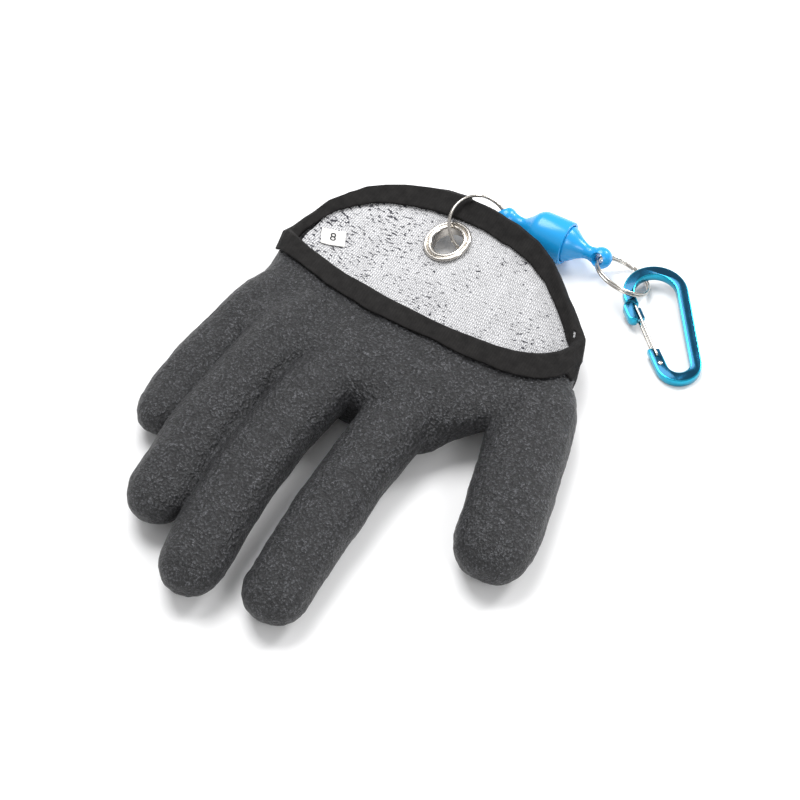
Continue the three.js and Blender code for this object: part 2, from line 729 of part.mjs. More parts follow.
// Clip in its own plane: the big end at 0, 0, the small end on +X, the spine on +Y, the gate on -Y
const CLIP_HEADING = THREE.MathUtils.degToRad(-46);
const CLIP_SIDE = THREE.MathUtils.degToRad(1);
const RING_PLAY = 4.7;
const NOSE_START = 2.2;
const NOSE_END = 11.4;
const NOSE_WIDTH = 5;
const NOSE_THICKNESS = 4.2;
const NOSE_BULGE = 1.7;
const HINGE_END = 25.2;
const HINGE_NOTCH = 0.6;
const HINGE_SLOT = 2;
const NOSE_OVERLAP = 1;
const BAR_CURVE_STEPS = 6;
const NOSE_CURVE_STEPS = 4;
const TAB_THICKNESS = 1.8;
const GATE_GAP = 0.3;
const GATE_NOSE = [4.6, -9.2];
const GATE_HINGE = [28.2, -6.9];
const PIVOT_DEPTH = 0.5;
const RIVET_SPOT = [32, -6.6];
const RIVET_RADIUS = 0.9;
const RIVET_PROUD = 0.3;
const PIN_SIDES = 12;
const lean = Math.asin((CLIP_BIG_RADIUS - CLIP_SMALL_RADIUS) / CLIP_SPACING);
const legHeight = TAB_THICKNESS / 2 + GATE_GAP + GATE_WIRE / 2;
const legRoom = GATE_WIRE / 2 + GATE_GAP;

// The gate side of the bar at a place along the clip, for a big end of a given radius
const gateSide = (radius, along) => -(radius - along * Math.sin(lean)) / Math.cos(lean);

function clipOutline() {
  const start = -Math.PI / 2 + lean;
  const end = Math.PI / 2 - lean;
  const opening = CLIP_BIG_RADIUS - CLIP_BAR;
  const barStart = NOSE_END - NOSE_OVERLAP;
  const smallOpening = CLIP_SMALL_RADIUS - CLIP_BAR;
  const shape = new THREE.Shape();
  shape.moveTo(barStart, gateSide(CLIP_BIG_RADIUS, barStart));
  shape.absarc(0, 0, CLIP_BIG_RADIUS, start, end, true);
  shape.absarc(CLIP_SPACING, 0, CLIP_SMALL_RADIUS, end, start, true);
  shape.lineTo(HINGE_END, gateSide(CLIP_BIG_RADIUS, HINGE_END));
  shape.lineTo(HINGE_END - HINGE_NOTCH, gateSide(CLIP_BIG_RADIUS - CLIP_BAR / 2, HINGE_END));
  shape.lineTo(HINGE_END, gateSide(opening, HINGE_END));
  shape.absarc(CLIP_SPACING, 0, smallOpening, start, end, false);
  shape.absarc(0, 0, opening, end, start - 2 * Math.PI, false);
  shape.lineTo(barStart, gateSide(opening, barStart));
  shape.closePath();
  return shape;
}

function slab(shape, thickness, chamfer, curveSegments) {
  const geometry = new THREE.ExtrudeGeometry(shape, {
    depth: thickness - 2 * chamfer,
    bevelEnabled: chamfer > 0,
    bevelThickness: chamfer,
    bevelSize: chamfer,
    bevelOffset: -chamfer,
    bevelSegments: 1,
    curveSegments,
  });
  return geometry.translate(0, 0, chamfer - thickness / 2);
}

const pin = ([along, side], radius, height, sides) =>
  new THREE.CylinderGeometry(radius, radius, height, sides).rotateX(Math.PI / 2).translate(along, side, 0);

// The nose is a rounded block on the gate side of the big end
function noseBlock() {
  const shape = new THREE.Shape();
  const half = NOSE_WIDTH / 2;
  shape.absarc(NOSE_START + half, 0, half, Math.PI / 2, -Math.PI / 2, false);
  shape.absarc(NOSE_END - half, 0, half, -Math.PI / 2, Math.PI / 2, false);
  const middle = gateSide(CLIP_BIG_RADIUS + NOSE_BULGE, 0) + half;
  return slab(shape, NOSE_THICKNESS, CLIP_CHAMFER, NOSE_CURVE_STEPS).rotateZ(lean).translate(0, middle, 0);
}

// Room for the gate's legs on both faces, open to the inside, and for the end of its loop
function gateRoom() {
  const reach = CLIP_THICKNESS;
  const box = (from, to, outer, height, middle) =>
    new THREE.BoxGeometry(to - from, CLIP_BAR + legRoom, height)
      .translate((from + to) / 2, outer + (CLIP_BAR + legRoom) / 2, middle);
  const above = TAB_THICKNESS / 2 + reach / 2;
  const noseOuter = GATE_NOSE[1] - legRoom;
  const hingeOuter = GATE_HINGE[1] - legRoom;
  const rooms = [above, -above].flatMap((middle) => [
    box(GATE_NOSE[0] - legRoom, NOSE_END + NOSE_OVERLAP, noseOuter, reach, middle),
    box(HINGE_END - HINGE_SLOT, GATE_HINGE[0] + legRoom, hingeOuter, reach, middle),
  ]);
  const notch = box(GATE_NOSE[0] - legRoom, GATE_NOSE[0] + legRoom, noseOuter, 2 * reach, 0);
  const pivotHole = pin(GATE_HINGE, legRoom, 2 * reach, PIN_SIDES);
  const rivetHole = pin(RIVET_SPOT, RIVET_RADIUS + GATE_GAP, 2 * reach, PIN_SIDES);
  return [...rooms, notch, pivotHole, rivetHole];
}

function carabinerFrame() {
  const bar = slab(clipOutline(), CLIP_THICKNESS, CLIP_CHAMFER, BAR_CURVE_STEPS);
  return cut(join([bar, noseBlock()]), gateRoom());
}

// One wire: down the pivot hole, along one face to the nose, across, and back on the other face
function wireGate() {
  const [hingeAlong, hingeSide] = GATE_HINGE;
  const [noseAlong, noseSide] = GATE_NOSE;
  const bend = GATE_WIRE * 0.8;
  const along = vector(noseAlong - hingeAlong, noseSide - hingeSide, 0).normalize();
  const hinge = vector(hingeAlong, hingeSide, 0);
  const nose = vector(noseAlong, noseSide, 0);
  const corner = (from, at, to) => [0, 0.5, 1].map((share) => {
    const start = at.clone().add(from.clone().sub(at).setLength(bend));
    const end = at.clone().add(to.clone().sub(at).setLength(bend));
    return new THREE.QuadraticBezierCurve3(start, at, end).getPoint(share);
  });
  const high = (point, height) => point.clone().setZ(height);
  const upper = [
    high(hinge, PIVOT_DEPTH),
    ...corner(high(hinge, PIVOT_DEPTH), high(hinge, legHeight), high(nose, legHeight)),
    ...corner(high(hinge, legHeight), high(nose, legHeight), high(nose, 0)),
  ];
  const lower = upper.slice().reverse().map((point) => high(point, -point.z));
  const side = vector(-along.y, along.x, 0);
  return wire([...upper, ...lower], GATE_WIRE / 2, GATE_SIDES, side);
}

const rivet = pin(RIVET_SPOT, RIVET_RADIUS, CLIP_THICKNESS + 2 * RIVET_PROUD, PIN_SIDES);

const clipGroup = new THREE.Group();
const clipLow = (CLIP_SPACING + CLIP_SMALL_RADIUS - CLIP_CHAMFER) * Math.sin(CLIP_LIFT);
const clipReach = OUTER_RING_RADIUS + CLIP_BIG_RADIUS - CLIP_BAR - RING_PLAY;
clipGroup.rotation.set(0, CLIP_LIFT, CLIP_HEADING, 'ZYX');
clipGroup.position.set(
  outerRingCentre.x + clipReach * Math.cos(CLIP_SIDE),
  outerRingCentre.y + clipReach * Math.sin(CLIP_SIDE),
  clipLow + (CLIP_THICKNESS / 2) * Math.cos(CLIP_LIFT),
);

const group = new THREE.Group();
const add = (parent, name, geometry, material) => {
  const mesh = new THREE.Mesh(geometry, material);
  mesh.name = name;
  parent.add(mesh);
};

add(group, 'latex_shell', latexShell(), LATEX);
add(group, 'knit_liner', knitLiner(), KNIT);
add(group, 'cuff_binding', cuffBinding(), TAPE);
add(group, 'size_label', sizeLabel(), LABEL);
add(group, 'grommet_eyelet', onEyelet(turned(eyeletProfile)), STEEL);
add(group, 'grommet_washer', onEyelet(turned(washerProfile)), STEEL);
const innerRing = splitRing(INNER_RING_RADIUS, innerRingCentre, chordLine, upperSide, INNER_RING_START);
const outerRing = splitRing(OUTER_RING_RADIUS, outerRingCentre, outerFirst, outerSecond, OUTER_RING_START);
add(group, 'inner_split_ring', innerRing, STEEL);
add(group, 'release_cup', releaseCup(), RELEASE_BLUE);
add(group, 'release_cup_magnet', magnet(cupMagnetStart), STEEL);
add(group, 'release_plug', releasePlug(), RELEASE_BLUE);
add(group, 'release_plug_magnet', magnet(plugMagnetStart), STEEL);
add(group, 'outer_split_ring', outerRing, STEEL);
add(clipGroup, 'carabiner_frame', carabinerFrame(), ANODISED);
add(clipGroup, 'carabiner_rivet', rivet, STEEL);
add(clipGroup, 'wire_gate', wireGate(), STEEL);
group.add(clipGroup);

// The origin is at the middle of the base of the whole
group.updateMatrixWorld(true);
const bounds = new THREE.Box3().setFromObject(group, true);
const centre = bounds.getCenter(vector());
group.children.forEach((child) => child.position.sub(vector(centre.x, centre.y, bounds.min.z)));

export default group;
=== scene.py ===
"""A fishing glove with a magnetic release and a clip, dressed for a studio picture.

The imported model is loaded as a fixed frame. Each class below dresses one sub-assembly of it:
the dipped glove, its knit liner, the tape round its cuff, the size tag, the eyelet, the split
rings, the magnetic release and the clip. Lengths are in millimetres until they reach Blender.
"""

import json
import logging
import math
from collections.abc import Sequence
from dataclasses import dataclass
from enum import Enum

import bmesh
import bpy
import numpy as np
from mathutils import Matrix, Vector, noise
from mathutils.bvhtree import BVHTree


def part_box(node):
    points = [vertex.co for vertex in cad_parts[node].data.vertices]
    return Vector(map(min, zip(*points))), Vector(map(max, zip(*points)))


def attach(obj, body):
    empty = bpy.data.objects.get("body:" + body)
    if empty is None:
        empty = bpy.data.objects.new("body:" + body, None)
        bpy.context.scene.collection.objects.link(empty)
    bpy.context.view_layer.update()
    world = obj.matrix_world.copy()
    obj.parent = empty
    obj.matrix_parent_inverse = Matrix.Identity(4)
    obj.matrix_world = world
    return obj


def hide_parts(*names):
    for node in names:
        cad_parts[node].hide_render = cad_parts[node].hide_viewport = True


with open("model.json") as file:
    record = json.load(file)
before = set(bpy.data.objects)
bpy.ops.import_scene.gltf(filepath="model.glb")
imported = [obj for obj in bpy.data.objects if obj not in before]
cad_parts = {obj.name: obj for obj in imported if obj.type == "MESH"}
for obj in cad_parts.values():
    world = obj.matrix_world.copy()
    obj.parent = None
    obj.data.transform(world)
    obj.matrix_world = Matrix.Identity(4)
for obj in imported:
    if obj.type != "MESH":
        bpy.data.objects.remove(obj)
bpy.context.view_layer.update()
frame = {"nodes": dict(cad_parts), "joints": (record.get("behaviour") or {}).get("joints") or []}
FRAME_NODES = frame["nodes"]
JOINTS = frame["joints"]

LOG = logging.getLogger("fishing_glove")

MM = 0.001
UP = Vector((0, 0, 1))

# The cloth's slack: broad and narrow waves, each with its waves per metre and its height in metres.
SLACK_SEED = 8
BROAD_WAVES, BROAD_HEIGHT = 75, 0.00055
NARROW_WAVES, NARROW_HEIGHT = 190, 0.00018

WELD_DISTANCE = 1e-6
THIN_EDGE = 1e-7
LOOK_OFFSET = 0.2


class Body(Enum):
    """The moving bodies of the frame."""

    GLOVE = "glove"
    OUTER = "release_outer"
    GATE = "gate"


def joint_row(name: str) -> dict:
    """The frame's row of a joint."""
    return next(joint for joint in JOINTS if joint["name"] == name)


# Meshes


def add_object(name: str, data: bpy.types.ID) -> bpy.types.Object:
    """Makes an object of some data and links it to the scene."""
    made = bpy.data.objects.new(name, data)
    bpy.context.scene.collection.objects.link(made)
    return made


def make_object(name: str, points: Sequence, faces: Sequence) -> bpy.types.Object:
    """Makes an object from points and faces, in metres.

    Args:
        name: the piece's name.
        points: its points.
        faces: lists of point indices.

    Returns:
        The new object, linked to the scene.
    """
    mesh = bpy.data.meshes.new(name)
    mesh.from_pydata([tuple(p) for p in points], [], [tuple(f) for f in faces])
    mesh.validate()
    return add_object(name, mesh)


def reshape(piece: bpy.types.Object, work) -> None:
    """Runs a function on a piece's mesh as a BMesh.

    Args:
        piece: the object whose mesh changes.
        work: a function of one BMesh.
    """
    shape = bmesh.new()
    shape.from_mesh(piece.data)
    work(shape)
    shape.to_mesh(piece.data)
    shape.free()
    piece.data.update()


def weld(shape: bmesh.types.BMesh) -> None:
    """Joins the points that lie on each other and turns the faces outward."""
    bmesh.ops.remove_doubles(shape, verts=shape.verts, dist=WELD_DISTANCE)
    bmesh.ops.dissolve_degenerate(shape, edges=shape.edges, dist=THIN_EDGE)
    bmesh.ops.recalc_face_normals(shape, faces=shape.faces)


def bake(piece: bpy.types.Object) -> None:
    """Applies all modifiers of a piece to its mesh."""
    graph = bpy.context.evaluated_depsgraph_get()
    result = bpy.data.meshes.new_from_object(piece.evaluated_get(graph))
    piece.modifiers.clear()
    old = piece.data
    piece.data = result
    bpy.data.meshes.remove(old)


def modify(piece: bpy.types.Object, kind: str, **settings) -> None:
    """Adds one modifier and applies it.

    Args:
        piece: the object.
        kind: the modifier's type.
        settings: its properties.
    """
    modifier = piece.modifiers.new(kind.lower(), kind)
    for key, value in settings.items():
        setattr(modifier, key, value)
    bake(piece)


def cut_away(piece: bpy.types.Object, cutter: bpy.types.Object, join: bool = False) -> None:
    """Cuts one closed piece with another, or joins the two, and drops the second.

    Args:
        piece: the piece that stays.
        cutter: the piece that is used up.
        join: whether the two are joined instead.
    """
    operation = "UNION" if join else "DIFFERENCE"
    modify(piece, "BOOLEAN", operation=operation, object=cutter, solver="EXACT")
    bpy.data.objects.remove(cutter)


def shade(piece: bpy.types.Object, crease: float = 35) -> None:
    """Shades a piece smooth, with edges kept sharp past an angle in degrees."""
    piece.data.shade_smooth()
    piece.data.set_sharp_from_angle(angle=math.radians(crease))


def cad_copy(name: str, node: str) -> bpy.types.Object:
    """Copies a node of the frame as a new object to work on.

    Args:
        name: the new piece's name.
        node: the node's name.

    Returns:
        The copy, with its points welded.
    """
    source = bpy.data.meshes.new_from_object(FRAME_NODES[node])
    source.materials.clear()
    piece = add_object(name, source)
    reshape(piece, weld)
    return piece


def node_points(node: str) -> np.ndarray:
    """The different points of a node's mesh, in millimetres, one row each."""
    points = np.array([v.co for v in FRAME_NODES[node].data.vertices]) / MM
    return np.unique(points.round(3), axis=0)


def main_ways(points: np.ndarray) -> np.ndarray:
    """The main directions of a cloud of points, one column each, from the thinnest to the longest."""
    return np.linalg.eigh(np.cov((points - points.mean(0)).T))[1]


def upright(axis: Vector) -> Matrix:
    """The turn that brings +Z to an axis."""
    return UP.rotation_difference(axis).to_matrix().to_4x4()


def lathe(name: str, profile: Sequence, place: Matrix, segments: int = 96) -> bpy.types.Object:
    """Turns a closed profile about an axis.

    Args:
        name: the piece's name.
        profile: (radius, height) rows in millimetres, closed on itself or by the axis.
        place: from the axis's own frame, with +Z along the axis, to the scene.
        segments: how many steps one turn has.

    Returns:
        The turned object.
    """
    rows = np.array(profile, float)
    turns = np.linspace(0, 2 * math.pi, segments, endpoint=False)
    points = [place @ Vector((r * math.cos(t), r * math.sin(t), h)) * MM
              for t in turns for r, h in rows]
    count = len(rows)
    faces = []
    for s in range(segments):
        here, there = s * count, (s + 1) % segments * count
        faces += [(here + k, there + k, there + (k + 1) % count, here + (k + 1) % count)
                  for k in range(count)]
    piece = make_object(name, points, faces)
    reshape(piece, weld)
    return piece


def tube(name: str, path: Sequence[Vector], radius: float, sides: int = 12) -> bpy.types.Object:
    """Sweeps a round wire with closed, slightly rounded ends along a path.

    Args:
        name: the piece's name.
        path: its middle line in millimetres.
        radius: the wire's radius in millimetres.
        sides: how many sides the section has.

    Returns:
        The wire as one closed mesh.
    """
    path = [Vector(p) for p in path]
    last = len(path) - 1
    tangents = [(path[min(k + 1, last)] - path[max(k - 1, 0)]).normalized() for k in range(last + 1)]
    side = tangents[0].orthogonal().normalized()
    rounding, end_share = 0.2 * radius, 0.75
    stations = [(path[0] - tangents[0] * rounding, tangents[0], end_share)]
    stations += [(p, t, 1.0) for p, t in zip(path, tangents)]
    stations += [(path[-1] + tangents[-1] * rounding, tangents[-1], end_share)]
    points, faces = [], []
    for centre, tangent, share in stations:
        side = (side - tangent * side.dot(tangent)).normalized()
        other = tangent.cross(side)
        for s in range(sides):
            turn = 2 * math.pi * s / sides
            spoke = side * math.cos(turn) + other * math.sin(turn)
            points.append((centre + spoke * radius * share) * MM)
    for k in range(len(stations) - 1):
        for s in range(sides):
            after = (s + 1) % sides
            here, there = k * sides, (k + 1) * sides
            faces.append((here + s, here + after, there + after, there + s))
    faces.append(tuple(reversed(range(sides))))
    faces.append(tuple(range((len(stations) - 1) * sides, len(stations) * sides)))
    piece = make_object(name, points, faces)
    reshape(piece, weld)
    shade(piece, 50)
    return piece


def through(points: Sequence[Sequence[float]], steps: int = 8) -> list[Vector]:
    """A smooth curve through points, by Catmull and Rom's rule.

    Args:
        points: its points, of any dimension.
        steps: how many pieces each span is given.

    Returns:
        The points of the curve.
    """
    rows = [np.array(p, float) for p in points]
    rows = [2 * rows[0] - rows[1], *rows, 2 * rows[-1] - rows[-2]]
    curve = []
    for a, b, c, d in zip(rows, rows[1:], rows[2:], rows[3:]):
        for s in np.arange(steps) / steps:
            square, cube = 2 * a - 5 * b + 4 * c - d, 3 * b - a - 3 * c + d
            curve.append(0.5 * (2 * b + (c - a) * s + square * s**2 + cube * s**3))
    return [Vector(p) for p in [*curve, rows[-2]]]


def block(name: str, low: Sequence[float], high: Sequence[float]) -> bpy.types.Object:
    """A plain box between two corners, in metres."""
    points = [(x, y, z) for x in (low[0], high[0])
              for y in (low[1], high[1]) for z in (low[2], high[2])]
    faces = [(0, 1, 3, 2), (4, 6, 7, 5), (0, 4, 5, 1), (2, 3, 7, 6), (0, 2, 6, 4), (1, 5, 7, 3)]
    piece = make_object(name, points, faces)
    reshape(piece, weld)
    return piece


def shut_in(piece: bpy.types.Object) -> list[bool]:
    """Finds the points of a hollow skin that face its own inside.

    Args:
        piece: the skin.

    Returns:
        One answer for each of its points: whether it has the skin both over it and under it.
    """
    tree = BVHTree.FromPolygons([v.co for v in piece.data.vertices],
                                [p.vertices for p in piece.data.polygons])
    answers = []
    for vertex in piece.data.vertices:
        start = vertex.co + vertex.normal * LOOK_OFFSET * MM
        answers.append(all(tree.ray_cast(start, look)[0] is not None for look in (UP, -UP)))
    return answers


def slack(point: Vector) -> Vector:
    """How far loose cloth lies off its even shape at a point, in metres."""
    broad = noise.noise_vector(point * BROAD_WAVES) * BROAD_HEIGHT
    return broad + noise.noise_vector(point * NARROW_WAVES + UP) * NARROW_HEIGHT


def loosen(piece: bpy.types.Object) -> None:
    """Moves each point of a cloth piece by the slack of its place."""
    for vertex in piece.data.vertices:
        vertex.co += slack(vertex.co)


def roughen(piece: bpy.types.Object, grain: float, depth: float) -> None:
    """Gives a skin low uneven bumps along its normals.

    Args:
        piece: the skin.
        grain: how far apart the bumps are, in millimetres.
        depth: how high they are, in millimetres.
    """
    normals = [vertex.normal.copy() for vertex in piece.data.vertices]
    for vertex, normal in zip(piece.data.vertices, normals):
        vertex.co += normal * (noise.noise(vertex.co / (grain * MM)) * depth * MM)


def soften(piece: bpy.types.Object, voxel: float, rounds: int, most: int) -> None:
    """Turns a faceted wall of cloth into an even, rounded skin.

    Args:
        piece: the closed wall.
        voxel: the grid it is rebuilt on, in millimetres.
        rounds: how often it is smoothed.
        most: the most triangles that it may end with.
    """
    coarser = 1
    modify(piece, "REMESH", mode="VOXEL", voxel_size=voxel * MM * coarser)
    modify(piece, "SMOOTH", factor=0.5, iterations=rounds)
    triangles = sum(len(p.vertices) - 2 for p in piece.data.polygons)
    if triangles > most:
        modify(piece, "DECIMATE", ratio=most / triangles)
    loosen(piece)
    piece.data.shade_smooth()


# Materials


class Graph:
    """A shader node tree while it is being wired."""

    def __init__(self, tree: bpy.types.NodeTree) -> None:
        """Takes an empty node tree."""
        self.tree = tree

    def node(self, kind: str, inputs: dict | None = None, **settings) -> bpy.types.Node:
        """Adds a node.

        Args:
            kind: the node's type without its ShaderNode prefix, or a group's own type.
            inputs: what each socket, by name or number, is set to or linked from.
            settings: the node's properties.

        Returns:
            The new node.
        """
        made = self.tree.nodes.new(kind if kind.startswith("Node") else "ShaderNode" + kind)
        for key, value in settings.items():
            setattr(made, key, value)
        for key, value in (inputs or {}).items():
            if isinstance(value, bpy.types.NodeSocket):
                self.tree.links.new(value, made.inputs[key])
            else:
                made.inputs[key].default_value = value
        return made

    def math(self, operation: str, *values) -> bpy.types.NodeSocket:
        """Adds a Math node on values or sockets and gives its result."""
        return self.node("Math", dict(enumerate(values)), operation=operation).outputs[0]

    def spread(self, value: bpy.types.NodeSocket, low: float, high: float,
               start: float = 0, end: float = 1) -> bpy.types.NodeSocket:
        """Maps the part of a value between low and high onto start to end."""
        inputs = {"Value": value, "From Min": low, "From Max": high, "To Min": start, "To Max": end}
        return self.node("MapRange", inputs).outputs[0]

    def mix(self, share, first, second) -> bpy.types.NodeSocket:
        """Mixes two colours by a share."""
        inputs = {0: share, 6: first, 7: second}
        return self.node("Mix", inputs, data_type="RGBA").outputs[2]

    def cloud(self, place, scale, detail: float, **more) -> bpy.types.Node:
        """Adds a noise texture at a place; more holds its other inputs by name."""
        return self.node("TexNoise", {"Vector": place, "Scale": scale, "Detail": detail, **more})

    def bend(self, place, scale: float, reach: tuple[float, float, float]) -> bpy.types.NodeSocket:
        """Shifts a place unevenly, by up to a reach in metres along each axis."""
        drift = self.cloud(place, scale, 2.0)
        bent = self.node("VectorMath", {0: drift.outputs[1], 1: reach}, operation="MULTIPLY")
        return self.node("VectorMath", {0: place, 1: bent.outputs[0]}, operation="ADD").outputs[0]

    def place(self) -> bpy.types.NodeSocket:
        """The place on the object, in metres."""
        return self.node("TexCoord").outputs["Object"]


class Effects:
    """Node groups that more than one finish uses, each made once."""

    made: dict[str, bpy.types.ShaderNodeTree] = {}

    @classmethod
    def start(cls, name: str, inputs: dict[str, float],
              outputs: Sequence[str]) -> tuple[Graph, bpy.types.Node]:
        """Makes an empty group with a vector and named values going in.

        Args:
            name: the group's name.
            inputs: each value's name and default.
            outputs: the names of the values that come out.

        Returns:
            The group's graph and its input node.
        """
        tree = bpy.data.node_groups.new(name, "ShaderNodeTree")
        tree.interface.new_socket("Place", in_out="INPUT", socket_type="NodeSocketVector")
        for key, value in inputs.items():
            socket = tree.interface.new_socket(key, in_out="INPUT", socket_type="NodeSocketFloat")
            socket.default_value = value
        for key in outputs:
            tree.interface.new_socket(key, in_out="OUTPUT", socket_type="NodeSocketFloat")
        graph = Graph(tree)
        cls.made[name] = tree
        return graph, graph.node("NodeGroupInput")

    @classmethod
    def grain(cls) -> bpy.types.ShaderNodeTree:
        """Soft uneven grain of a given size, between a low and a high value."""
        if "grain" not in cls.made:
            graph, given = cls.start("grain", {"Scale": 500, "Low": 0, "High": 1}, ["Value"])
            cloud = graph.cloud(given.outputs["Place"], given.outputs["Scale"], 3.0, Roughness=0.6)
            inputs = {"Value": cloud.outputs[0], "From Min": 0.3, "From Max": 0.7,
                      "To Min": given.outputs["Low"], "To Max": given.outputs["High"]}
            graph.node("NodeGroupOutput", {"Value": graph.node("MapRange", inputs).outputs[0]})
        return cls.made["grain"]

    @classmethod
    def weave(cls) -> bpy.types.ShaderNodeTree:
        """The height of crossed threads, with a given number of threads per metre."""
        if "weave" not in cls.made:
            graph, given = cls.start("weave", {"Threads": 1500}, ["Height"])
            split = graph.node("SeparateXYZ", {0: given.outputs["Place"]})
            beat = graph.math("MULTIPLY", given.outputs["Threads"], math.pi)
            along = graph.math("ADD", split.outputs[0], split.outputs[1])
            across = graph.math("SUBTRACT", split.outputs[0], split.outputs[1])
            lifts = [graph.math("SINE", graph.math("MULTIPLY", way, beat)) for way in (along, across)]
            height = graph.math("ABSOLUTE", graph.math("MULTIPLY", *lifts))
            graph.node("NodeGroupOutput", {"Height": height})
        return cls.made["weave"]


@dataclass(frozen=True)
class Finish:
    """A plain finish, which the special ones extend."""

    name: str
    slot: str
    color: tuple[float, float, float]
    roughness: float = 0.5
    metallic: float = 0.0
    coat: float = 0.0
    specular: float = 0.5

    def dress(self, graph: Graph, shader: bpy.types.Node) -> None:
        """Wires what changes over the surface: faint smudges in the gloss."""
        values = {"Place": graph.place(), "Scale": 160.0,
                  "Low": self.roughness * 0.8, "High": self.roughness * 1.25}
        smudge = graph.node("Group", values, node_tree=Effects.grain())
        graph.tree.links.new(smudge.outputs[0], shader.inputs["Roughness"])

    @staticmethod
    def raise_by(graph: Graph, shader: bpy.types.Node, height: bpy.types.NodeSocket,
                 depth: float, strength: float = 1.0) -> None:
        """Feeds a height, with its depth in millimetres, to the shader's normal."""
        bump = graph.node("Bump", {"Strength": strength, "Distance": depth * MM, "Height": height})
        graph.tree.links.new(bump.outputs[0], shader.inputs["Normal"])

    def material(self) -> bpy.types.Material:
        """Makes the material, once for each name.

        Returns:
            The material with its Principled shader dressed.
        """
        if self.name in bpy.data.materials:
            return bpy.data.materials[self.name]
        made = bpy.data.materials.new(self.name)
        made.use_nodes = True
        shader = made.node_tree.nodes["Principled BSDF"]
        shader.inputs["Base Color"].default_value = (*self.color, 1)
        shader.inputs["Roughness"].default_value = self.roughness
        shader.inputs["Metallic"].default_value = self.metallic
        shader.inputs["Coat Weight"].default_value = self.coat
        shader.inputs["Coat Roughness"].default_value = 0.04
        shader.inputs["Specular IOR Level"].default_value = self.specular
        self.dress(Graph(made.node_tree), shader)
        return made

    def put_on(self, piece: bpy.types.Object, body: Body, *nodes: str) -> bpy.types.Object:
        """Gives a piece this finish and its place in the frame.

        Args:
            piece: the object.
            body: what it moves with.
            nodes: the nodes that it stands for.

        Returns:
            The same piece.
        """
        if not piece.data.materials:
            piece.data.materials.append(self.material())
        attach(piece, body.value)
        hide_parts(*nodes)
        LOG.info("%s rides on %s, %d points", piece.name, body.value, len(piece.data.vertices))
        return piece


@dataclass(frozen=True)
class CrinkledLatex(Finish):
    """Dark dipped latex with a fine crinkle and pale specks painted on its crests as glints."""

    # Colour of the painted glints on the crests of the crinkle.
    glint_color: tuple[float, float, float] = (0.135, 0.138, 0.15)
    crinkle_size: float = 0.85
    crinkle_depth: float = 0.9

    def dress(self, graph: Graph, shader: bpy.types.Node) -> None:
        """Wires the crinkle, its painted glints on the crests and the change of gloss."""
        place = graph.place()
        scale = 1 / (self.crinkle_size * MM)
        moved = graph.bend(place, scale * 0.5, (0.0011, 0.0011, 0.0011))
        cells = graph.node("TexVoronoi", {"Vector": moved, "Scale": scale}, feature="SMOOTH_F1")
        folds = graph.cloud(place, scale * 0.8, 5.0, Roughness=0.62, Distortion=1.1)
        broad = graph.cloud(place, scale * 0.16, 2.0)
        hills = graph.spread(cells.outputs[0], 0.75, 0.1)
        height = graph.math("ADD", graph.math("MULTIPLY", hills, 0.55),
                            graph.math("MULTIPLY", folds.outputs[0], 0.9))
        raised = graph.math("ADD", height, graph.math("MULTIPLY", broad.outputs[0], 0.8))
        self.raise_by(graph, shader, raised, self.crinkle_depth)
        fine = graph.cloud(place, scale * 2.4, 3.0)
        # Painted glints: the crests of the crinkle are lightened towards the pale colour, where light would
        # catch them.
        crest = graph.math("MULTIPLY", graph.spread(height, 0.66, 0.95),
                           graph.spread(fine.outputs[0], 0.44, 0.58))
        crest_tone = graph.math("MULTIPLY", crest, graph.spread(broad.outputs[0], 0.3, 0.62, 0.5, 1))
        color = graph.mix(crest_tone, (*self.color, 1), (*self.glint_color, 1))
        graph.tree.links.new(color, shader.inputs["Base Color"])
        gloss = graph.spread(fine.outputs[0], 0.3, 0.7, self.roughness * 0.8, self.roughness * 1.25)
        graph.tree.links.new(gloss, shader.inputs["Roughness"])


